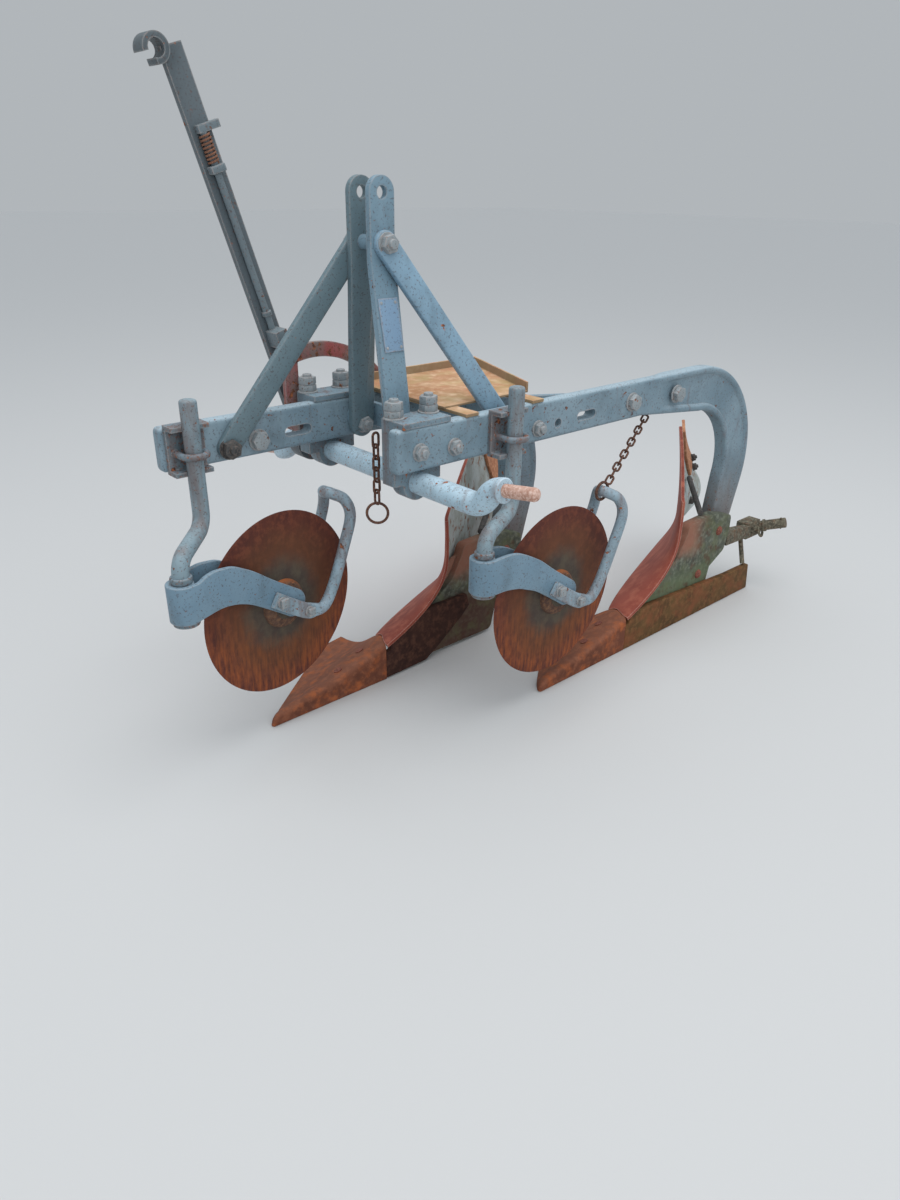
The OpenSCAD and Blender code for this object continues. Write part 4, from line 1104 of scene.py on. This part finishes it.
def fork_shape(coulter):
    """A fork: one flat strap bent round the swivel pin. Its path goes from one arm's end forward,
    half way round the pin and back along the other arm, and its height follows the arm's edges."""
    middle_r = fork_half - arm_thick / 2
    edge = 1.8
    end = arm_end_r * np.cos(np.radians([2, 12, 24, 38, 52, 68, 90]))
    back = np.concatenate([trail + arm_end_back + end, np.linspace(trail, 4, 42)])
    a = np.radians(np.linspace(0, 180, 26))
    nose = np.stack([middle_r * np.cos(a), -middle_r * np.sin(a)], -1)
    right = np.stack([np.full_like(back, middle_r), back], -1)
    left = np.stack([np.full_like(back, -middle_r), back[::-1]], -1)
    plan = np.concatenate([right, nose, left])
    top, bottom = arm_edges(coulter, np.maximum(plan[:, 1], 0))
    path = np.stack([plan[:, 0], plan[:, 1], (top + bottom) / 2], -1)
    up = np.broadcast_to([0, 0, 1], path.shape)
    across = np.cross(unit(np.gradient(path * [1, 1, 0], axis=0)), up)
    section = bar_section(arm_thick, np.maximum(top - bottom, 2 * edge + 0.2), edge)
    return turned_to_coulter(coulter, skin(rings_along(path, section, across, up)))


guard_side = 38.3
guard_half_path = [
    (33.5, 166, 30), (34, 190, 13), (36, 214, -3), (38, 234, -15), (guard_side, 252, -21),
    (guard_side, 280, -22), (guard_side, 308, 14), (guard_side, 340, 82), (37, 362, 136), (28, 358, 168),
    (12, 342, 181)]
guard_top_back = 336
guard_top_rise = 184
guard_r = 11
guard_flat_half = np.array([15, 5.5])
guard_flat_steps = 29
guard_fade_steps = 8


def guard_shape(coulter):
    """The guard: a round rod from arm to arm over the disc's rear edge, hammered flat at both ends."""
    half = np.array(guard_half_path, float)
    other_half = half[::-1] * [-1, 1, 1]
    path = smooth_path(np.concatenate([half, [[0, guard_top_back, guard_top_rise]], other_half]), 6)
    count = len(path)
    from_end = np.minimum(np.arange(count), np.arange(count)[::-1])
    flat = eased((guard_flat_steps - from_end) / guard_fade_steps)[:, None, None]
    circle = round_section(1, 20)
    hammered = guard_flat_half * np.sign(circle) * np.abs(circle) ** 0.35
    section = guard_r * circle * (1 - flat) + hammered * flat
    way = unit(np.gradient(path, axis=0))
    guide = np.array([1, 0, 0]) * np.sign(path[:, :1] + 1e-6)
    # The flats lie against the arms, and over the top the section is round, so its turn doesn't show
    across = unit(np.cross(guide, way) + 1e-9)
    rings = rings_along(path, section, across, np.cross(way, across))
    middle = count // 2
    rings[middle] = (rings[middle - 1] + rings[middle + 1]) / 2
    return turned_to_coulter(coulter, skin(rings))


def axle_way(coulter):
    """The way a disc's axle points, to the left."""
    return np.array([math.cos(coulter["way"]), math.sin(coulter["way"]), 0])


def disc_shape(coulter):
    """A disc coulter: flat, its rim ground thin from both sides, with a hub boss on each side."""
    half = [(0, 24), (13, 24), (15, 22), (16, 17.5), (27, 17), (29.5, 14), (31, 5), (46, 3.2), (52, 2.1),
            (disc_r - 16, 2.0), (disc_r - 5, 1.1), (disc_r - 0.6, 0.7), (disc_r, 0.3)]
    profile = half + [(radius, -along) for radius, along in half[::-1]]
    return turned(profile, coulter["axle"], axle_way(coulter), 128)


def hub_shapes(coulter):
    """A disc's hub: a rounded ring on each side with small rivets round it."""
    ring = [(26, 16), (34, 16), (40, 14.5), (44.5, 11.5), (47, 7), (47.5, 1)]
    rivets_r, rivets_out = 40, 13.6
    shapes = []
    for axis in (axle_way(coulter), -axle_way(coulter)):
        shapes.append(turned(ring, coulter["axle"], axis, 64))
        _, side, other, _ = axis_place(coulter["axle"], axis)
        for angle in np.radians(np.arange(5) * 72 + 18):
            rivet = coulter["axle"] + rivets_r * around(angle, side, other) + rivets_out * axis
            shapes.append(dome(rivet, axis, 3.6, 2.2))
    return shapes


def u_bolt(coulter):
    """A U-bolt round a stalk: out from the beam, half round the stalk and back."""
    x, y = coulter["stalk"]
    rod_r = 6
    bend = stalk_r + 6.4
    near = coulter["face"] + 7
    bow = arc([x, y], bend, -90, 90, 18)
    plan = np.concatenate([[[near, y - bend], [x - 6, y - bend]], bow, [[x - 6, y + bend], [near, y + bend]]])
    path = np.concatenate([plan, np.full((len(plan), 1), beam_top - 42)], 1)
    return carried(round_section(rod_r, 18), path, [0, 0, 1])


for coulter in coulters:
    name = coulter["name"]
    yoke, disc = name + "_yoke", name + "_disc"
    finished(name + "_stalk_worn", [stalk_shape(coulter)], stalk_paint, nodes=[name + "_stalk"])
    finished(name + "_swivel_pin", swivel_fittings(coulter), clamp_paint)
    softened(name + "_clamp", clamp_paint, 1.6)
    finished(name + "_clamp_bow", [u_bolt(coulter)], bolt_rust)
    high = coulter["nose_top"] - coulter["axle_z"]
    bush = rounded_drum(fork_half - arm_thick + 2, high - nose_height + 0.4, high - 0.4, 1.5)
    bush = turned_to_coulter(coulter, turned(bush, [0, 0, 0], [0, 0, 1]))
    finished(name + "_fork", [fork_shape(coulter), bush], fork_paint, yoke, [yoke])
    finished(name + "_guard_rod", [guard_shape(coulter)], guard_paint, yoke, [name + "_guard"])
    heads = []
    for hand in (1, -1):
        for y, z, out, flats in ((176, 23.5, 39.2, 17), (236, -15.5, 43.4, 15)):
            heads += nut_shape([hand * out, y, z], [hand, 0, 0], flats, 8, 20, 0, corners=4)
    finished(name + "_guard_bolts", [turned_to_coulter(coulter, head) for head in heads], nut_paint, yoke)
    finished(disc + "_worn", [disc_shape(coulter)], disc_rust(coulter), disc, [disc])
    finished(disc + "_hub", hub_shapes(coulter), hub_rust, disc)


# Bodies: shares, mouldboards, landsides and frogs

def shin(z):
    """How far the shin lies behind the share tip at a height."""
    low = shin_back - (shin_back - share_length) * (np.maximum(250 - z, 0) / (250 - seam_height)) ** 2.43
    return np.where(z < 250, low, shin_back - 15 * (np.maximum(z - 250, 0) / 175) ** 2)


def sweep(z):
    """Slope of the mouldboard's level lines away from straight across, once they have bent back."""
    return 1.33 + 1.3 * np.exp((70 - z) / 95)


def board_point(w, z, back=0.0):
    """A point of the mouldboard, w across from the landside, back behind its face. A level line leaves
    the shin straight across and bends back over the width e: y = shin + sweep (w - e (1 - exp(-w / e))),
    and the wing's lower part is twisted farther back by 105 (w / reach) ^ 4."""
    easing = 2 + 93 * np.exp((70 - z) / 85)
    bend = 1 - np.exp(-w / easing)
    twist = 105 * (w / wing_reach) ** 4 * np.exp(-(np.maximum(z - 150, 0) / 130) ** 2)
    slope = sweep(z) * bend + 4 * twist / np.maximum(w, 1)
    y = share_tip_y + shin(z) + sweep(z) * (w - easing * bend) + twist + back * np.sqrt(1 + slope ** 2)
    return np.stack(np.broadcast_arrays(land_x - w, y, z), -1)


def seam(w):
    """Height of the share's back edge, which falls from its ridge toward its wing."""
    return 4 + (seam_height - 4) / (1 + (w / 110) ** 4)


def board_low(w):
    """Lower edge of the mouldboard: on the share's ridge, then up to the wing."""
    rise = np.maximum(w - ridge_width, 0) / (wing_reach - ridge_width)
    return seam(np.minimum(w, ridge_width)) + 1 + 70 * rise ** 1.3


def board_high(w):
    """Upper edge of the mouldboard: it rises from the shin and drops at the wing's end."""
    rise = (wing_height - shin_height) * np.sin(np.radians(90 * np.minimum(w / (wing_reach - 40), 1)))
    return shin_height + rise - 40 * (np.maximum(w - wing_reach + 60, 0) / 60) ** 2


def board_wall(w0, w1, low, high, near, thick, columns=40, rows=36):
    """A wall along the mouldboard's surface between two edge lines, near behind its face."""
    w = w0 + (w1 - w0) * np.linspace(0, 1, columns)[:, None] ** 1.3
    t = np.linspace(0, 1, rows)[None, :]
    z = low(w) + (high(w) - low(w)) * t
    grid = board_point(w + 0 * t, z, near)
    return thickened(grid[::-1], thick)


def tail_low(w):
    """Lower edge of the tail piece behind the wing's end."""
    return wing_height - 157 + (w - tail_start) * 0.61


def tail_high(w):
    """Upper edge of the tail piece."""
    return wing_height - 20 + (w - tail_start) * 0.3


def share_point(w, t):
    """A point of the share's top. Each line back starts at the cutting edge and rises as the power 1.1 of
    the way t to the back edge. The nose stands up like a blunt bar that fades out up the ridge."""
    edge = share_tip_y + 1.3 * (w - 14 * (1 - np.exp(-w / 14))) + 7 - np.sqrt(49 - np.clip(7 - w, 0, 7) ** 2)
    back = share_tip_y + share_length - 0.5 + 27 * np.sin(np.pi / 2 * np.minimum(w / ridge_width, 1))
    far = (back - edge) * t
    fade = eased((170 - far) / 130)
    bar = 15 * np.sqrt(1 - (1 - np.minimum(far / 15, 1)) ** 2) * np.exp(-(np.maximum(w - 12, 0) / 24) ** 2)
    z = 1.5 + (seam(w) - 2.2) * t ** 1.1 + bar * fade
    return np.stack(np.broadcast_arrays(land_x - w, edge + far, z), -1)


def share_shape():
    """A share: across from the landside its section goes up the flank, over a soft ridge and down to the
    wing, where its underside is drawn in to the cutting edge."""
    rows, flank_rows, wall = 48, 6, 11
    t = np.linspace(0, 1, rows)[None, :] ** 1.3
    w = np.concatenate([[0.5, 2, 4, 7, 11], np.linspace(16, cut_width, 30)])[:, None]
    face = share_point(w, t)
    rounding = np.minimum(14, 2 + face[..., 2] * 0.4)
    inset = np.clip(rounding - w, 0, rounding)
    drop = rounding - np.sqrt(np.maximum(rounding ** 2 - inset ** 2, 0))
    face[..., 2] = np.maximum(face[..., 2] - drop, 1.0)
    flank_x = land_x - 0.4
    foot = face[0] * [0, 1, 0] + [flank_x, 0, 0.6]
    f = np.linspace(0, 1, flank_rows + 1)[:-1, None, None]
    flank = foot + (face[0] - foot) * f
    flank[..., 0] = flank_x - 0.4 * f[..., 0]
    grid = np.concatenate([flank, face])
    lift = np.clip(grid[..., 2] / 24, 0, 1)
    under = grid + np.stack([np.zeros_like(lift), 12 * (1 - lift), -wall * lift], -1)
    under[:flank_rows + 1] = grid[:flank_rows + 1] - [wall, 0, 0]
    ridge = slice(flank_rows + 1, flank_rows + 5)
    under[ridge, :, 0] = np.minimum(under[ridge, :, 0], flank_x - wall)
    under[..., 1] = np.minimum(under[..., 1], np.maximum(face[-1, -1, 1] + 6, grid[..., 1]))
    under[..., 2] = np.maximum(under[..., 2], 0.3)
    return shell(grid, under)


def surface_dome(surface, a, b, r, high):
    """A low round head on a surface of two parameters, along the normal found from small steps."""
    at = surface(np.float64(a), np.float64(b))
    over_a = surface(np.float64(a + 0.5), np.float64(b)) - at
    over_b = surface(np.float64(a), np.float64(b + 0.002 * max(1, abs(b)))) - at
    normal = unit(np.cross(over_a, over_b))
    return dome(at, normal, r, high)


for side, shift, land_paint, frog_paint in (("rear", np.zeros(3), landside_rust, rear_frog_cast),
                                            ("front", right_shift, front_landside_rust_and_shade, front_frog_cast_and_shade)):
    board = board_wall(0, wing_reach, board_low, board_high, 0, board_thick)
    finished(side + "_mouldboard_worn", [moved(board, shift)], board_paint, nodes=[side + "_mouldboard"],
             rounded=1.5)
    tail = board_wall(tail_start, wing_reach + 2, tail_low, tail_high, board_thick + 1, tail_thick, 12, 16)
    finished(side + "_tail_piece_worn", [moved(tail, shift)], tail_rust, nodes=[side + "_tail_piece"],
             rounded=1.5)
    finished(side + "_share_worn", [moved(share_shape(), shift)], share_rust_and_painted_light, nodes=[side + "_share"],
             rounded=1.2)
    softened(side + "_landside", land_paint, 2.5)
    softened(side + "_frog", frog_paint, 3.0)
    heads = [surface_dome(share_point, w, t, 9, 1.6) for w, t in ((55, 0.78), (38, 0.56))]
    finished(side + "_share_bolts", all_moved(heads, shift), red_bolt_rust)
    frog_face = land_x - 15
    heads = [dome([frog_face, y, z], [1, 0, 0], 12, 6.5) for y, z in ((951, 204), (881, 104))]
    finished(side + "_frog_bolts", all_moved(heads, shift), red_bolt_rust)
    nuts = []
    for w, z, depth in ((272, 290, board_thick + 9), (258, 268, board_thick + 9), (236, 180, board_thick)):
        at = board_point(np.float64(w), np.float64(z), depth)
        way = unit(np.cross(board_point(np.float64(w), np.float64(z + 1), depth) - at,
                            board_point(np.float64(w + 1), np.float64(z), depth) - at))
        nuts += nut_shape(at, way * np.sign(way[1]), 17, 9, 12, 4)
    finished(side + "_board_nuts", all_moved(nuts, shift), dark_iron)

painted(frame["nodes"]["rear_board_stay"], dark_iron)
painted(frame["nodes"]["front_board_stay"], dark_iron)
painted(frame["nodes"]["mast_spacer"], bar_paint)
softened("furrow_wheel_stub", stub_rust, 2.0)
softened("tray", tray_rust, 1.2)
softened("lever", lever_paint, 2.0)
softened("lever_latch", latch_paint, 1.2)


# Chains

link_pitch = 22
link_half_width = 6.2
link_wire_r = 2.3


def link_shape(centre, along, turn):
    """One chain link: a round wire carried round a slot-shaped path."""
    along = unit(along)
    side = unit(np.cross(along, [0.3, 0.2, 0.93] if abs(along[2]) < 0.9 else [1, 0, 0]))
    other = np.cross(along, side)
    side = around(turn, side, other)
    straight = (link_pitch + 2 * link_wire_r) / 2 - link_half_width
    ends = [arc([0, way * straight], link_half_width, 90 * way - 90, 90 * way + 90, 9) for way in (1, -1)]
    flat = np.concatenate(ends)
    path = np.asarray(centre) + flat[:, :1] * side + flat[:, 1:] * along
    return carried(round_section(link_wire_r, 10), path, np.cross(along, side), wrap=True)


def chain_shapes(points):
    """Links along a path, each a quarter turn from the last."""
    points = np.asarray(points, float)
    lengths = np.concatenate([[0], np.cumsum(np.linalg.norm(np.diff(points, axis=0), axis=-1))])
    count = int(round(lengths[-1] / link_pitch))
    places = (np.arange(count) + 0.5) * lengths[-1] / count
    at = np.stack([np.interp(places, lengths, points[:, i]) for i in range(3)], -1)
    way = np.gradient(at, axis=0)
    return [link_shape(at[i], way[i], math.pi / 2 * (i % 2)) for i in range(count)]


def ring_shape(centre, normal, r, wire_r):
    """A ring of round wire."""
    _, side, other, axis = axis_place(centre, normal)
    a = np.linspace(0, 2 * np.pi, 28, endpoint=False)[:, None]
    path = np.asarray(centre) + r * around(a, side, other)
    return carried(round_section(wire_r, 12), path, axis, wrap=True)


hang_top = np.array([58, -44, 598])
hang_low = np.array([58, -44, 474])
finished("hanging_chain_links", chain_shapes([hang_top, hang_low])
         + [ring_shape(hang_low - [0, 0, 20], [0.77, -0.64, 0], 19, 2.5)],
         chain_rust, nodes=["hanging_chain"])

chain_top = np.array([116, 660, 533])
guard_top = at_coulter(rear_coulter, [0, guard_top_back, guard_top_rise])
rear_chain = finished("rear_chain_links",
                      chain_shapes([chain_top, guard_top + [-6, 24, 10]])
                      + [ring_shape(guard_top, [1, 0, 0], 18, 3)],
                      chain_rust, body=None, nodes=["rear_chain"])

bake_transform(rear_chain)


# Bolts, nuts and washers

left_face = [1, 0, 0]
# Along a beam's left face: y, z, across flats, height, stud's end
left_beam_bolts = [(-18, 581, 24, 10, 5), (60, 577, 24, 10, 5), (273, 574, 24, 10, 6),
                   (561, 583, 30, 12, 0), (721, 578, 30, 12, 0)]
right_beam_bolts = [(-175, 574, 30, 12, 0)]
for name, face_x, rows in (("left", beam_left, left_beam_bolts), ("right", right_face, right_beam_bolts)):
    shapes = []
    for index, (y, z, flats, high, stud) in enumerate(rows):
        shapes += nut_shape([face_x, y, z], left_face, flats, high, 13 * index, stud)
    finished(name + "_beam_nuts", shapes, nut_paint)
# The right upright's foot and the right stay's foot stand out from the right beam's face
upright_foot = [right_face + 22, 40, beam_top - 49]
stay_foot = [right_face + 10, -237, beam_top - 51]
finished("upright_foot_nut", nut_shape(upright_foot, left_face, 27, 12, 20, 6), nut_paint)
finished("stay_foot_nut", nut_shape(stay_foot, left_face, 30, 13, 25, 6), dark_iron)

bracket_bolt_y = 38
bracket_top = beam_top + 10
for side, x in (("left", 102.5), ("right", -157.5)):
    nuts = []
    for y in (bracket_bolt_y, -bracket_bolt_y):
        top = np.array([x, y, bracket_top])
        nuts += nut_shape(top, [0, 0, 1], 28.5, 12, 30, 0)
        nuts += nut_shape(top + [0, 0, 14.6], [0, 0, 1], 28.5, 14, 37, 5, washer=False)
    finished(side + "_bracket_nuts", nuts, nut_paint)

plate_lean = math.radians(12.08)
plate_out = np.array([math.cos(plate_lean), 0, math.sin(plate_lean)])
plate_up = np.array([-math.sin(plate_lean), 0, math.cos(plate_lean)])
plate_middle = np.array([56, -3.6, 775])
rivets = [plate_middle + [0, y, 0] + up * plate_up for y in (14.5, -14.5) for up in (36, -36)]
finished("plate_rivets", [dome(rivet, plate_out, 2.8, 1.6) for rivet in rivets], nut_paint)

lever_lean = math.radians(17.5)
lever_up = np.array([0, -math.sin(lever_lean), math.cos(lever_lean)])
lever_x = -226
rod_foot = np.array([lever_x + 12, 0, shaft_z])


def coil(foot, way, r, wire_r, length, turns):
    """A spring: the circle of radius r goes round the axis a number of times while it moves along it."""
    _, side, other, axis = axis_place(foot, way)
    a = np.linspace(0, 2 * np.pi * turns, int(turns * 18))[:, None]
    path = foot + r * around(a, side, other) + length * a / (2 * np.pi * turns) * axis
    return carried(round_section(wire_r, 8), path, axis)


clip_low, clip_high = 505, 517
spring = coil(rod_foot + (clip_high + 2) * lever_up, lever_up, 8.4, 1.9, 44, 8)
stop = turned(rounded_drum(9, 262, 270, 1), rod_foot, lever_up, 24)
clip_place = (rod_foot, [1, 0, 0], np.cross(lever_up, [1, 0, 0]), lever_up)
clip = plate([[-5, -13], [11, -13], [11, 13], [-5, 13]], clip_low, clip_high, clip_place, 1.5)
finished("latch_spring", [spring], bolt_rust, "cross_shaft")
finished("latch_stop", [stop], latch_paint, "cross_shaft")
finished("latch_clip", [clip], latch_paint, "cross_shaft")

body_length = 834
stub_way = unit([0.90, 0.25, 0.34])
stub_foot = np.array([beam_left - 10, share_tip_y + body_length + 32, 152])
eye = stub_foot + 44 * stub_way
stub_rod = turned(rounded_drum(2.6, -19, 19, 0.8), stub_foot + 96 * stub_way, [0.1, -0.4, 0.9], 12)
finished("stub_fittings", [ring_shape(eye - [0, 0, 12], stub_way, 17, 3.4),
                           turned(rounded_drum(16.5, 50, 56, 1.5), stub_foot, stub_way, 32), stub_rod],
         stub_rust)

apex_z = 900
apex_half = 43
finished("apex_bolt", nut_shape([apex_half, 0, apex_z], left_face, 27, 12, 20, 6)
         + nut_shape([-apex_half, 0, apex_z], [-1, 0, 0], 27, 12, 5), nut_paint)


# Floor, light and camera

floor_paint, _, floor_shader = new_material("floor_pale")
floor_shader.inputs["Base Color"].default_value = tone(0.60, 0.595, 0.585)
floor_shader.inputs["Roughness"].default_value = 1.0
floor_mesh = bpy.data.meshes.new("floor")
floor_half, floor_z = 30, -0.0005
floor_corners = [(floor_half * x, floor_half * y, floor_z) for x, y in ((-1, -1), (1, -1), (1, 1), (-1, 1))]
floor_mesh.from_pydata(floor_corners, [], [(0, 1, 2, 3)])
floor_mesh.materials.append(floor_paint)
floor = bpy.data.objects.new("floor", floor_mesh)
bpy.context.scene.collection.objects.link(floor)

world = bpy.data.worlds.new("soft_sky")
world.use_nodes = True
bpy.context.scene.world = world
sky = world.node_tree
background = sky.nodes["Background"]
rays = sky.nodes.new("ShaderNodeLightPath").outputs
seen = number(sky, "MAXIMUM", rays["Is Glossy Ray"], rays["Is Transmission Ray"])
seen = number(sky, "MAXIMUM", rays["Is Camera Ray"], seen)
shown = mixed(sky, tone(0.80, 0.86, 0.92), tone(0.49, 0.52, 0.545), seen)
sky.links.new(shown, background.inputs["Color"])
background.inputs["Strength"].default_value = 0.9


def soft_lamp(name, place, target, size, power):
    """A large soft lamp that looks at a point."""
    data = bpy.data.lights.new(name, "AREA")
    data.shape = "DISK"
    data.size = size
    data.energy = power
    lamp = bpy.data.objects.new(name, data)
    bpy.context.scene.collection.objects.link(lamp)
    lamp.location = place
    lamp.rotation_mode = "QUATERNION"
    lamp.rotation_quaternion = (Vector(place) - Vector(target)).to_track_quat("Z", "Y")


soft_lamp("sky_above", (0.6, -0.4, 4.0), (0, 0, 0.3), 3.6, 70)
soft_lamp("sky_left", (4.0, -1.6, 2.6), (0, 0, 0.4), 3.0, 24)

camera_data = bpy.data.cameras.new("camera")
camera_data.sensor_fit = "VERTICAL"
camera_data.sensor_height = 36
camera_data.sensor_width = 36
camera_data.lens = 25.53
camera = bpy.data.objects.new("camera", camera_data)
bpy.context.scene.collection.objects.link(camera)
# The camera that was fitted to the photo: its heading, tilt and roll, and its place
turn = Matrix.Identity(4)
for angle, axis in ((47.87, "Z"), (90 - 26.07, "X"), (0.84, "Z")):
    turn = turn @ Matrix.Rotation(math.radians(angle), 4, axis)
camera.matrix_world = Matrix.Translation(in_frame([1218.69, -914.72, 988.49])) @ turn
bpy.context.scene.camera = camera
bpy.context.scene.view_settings.view_transform = "Standard"
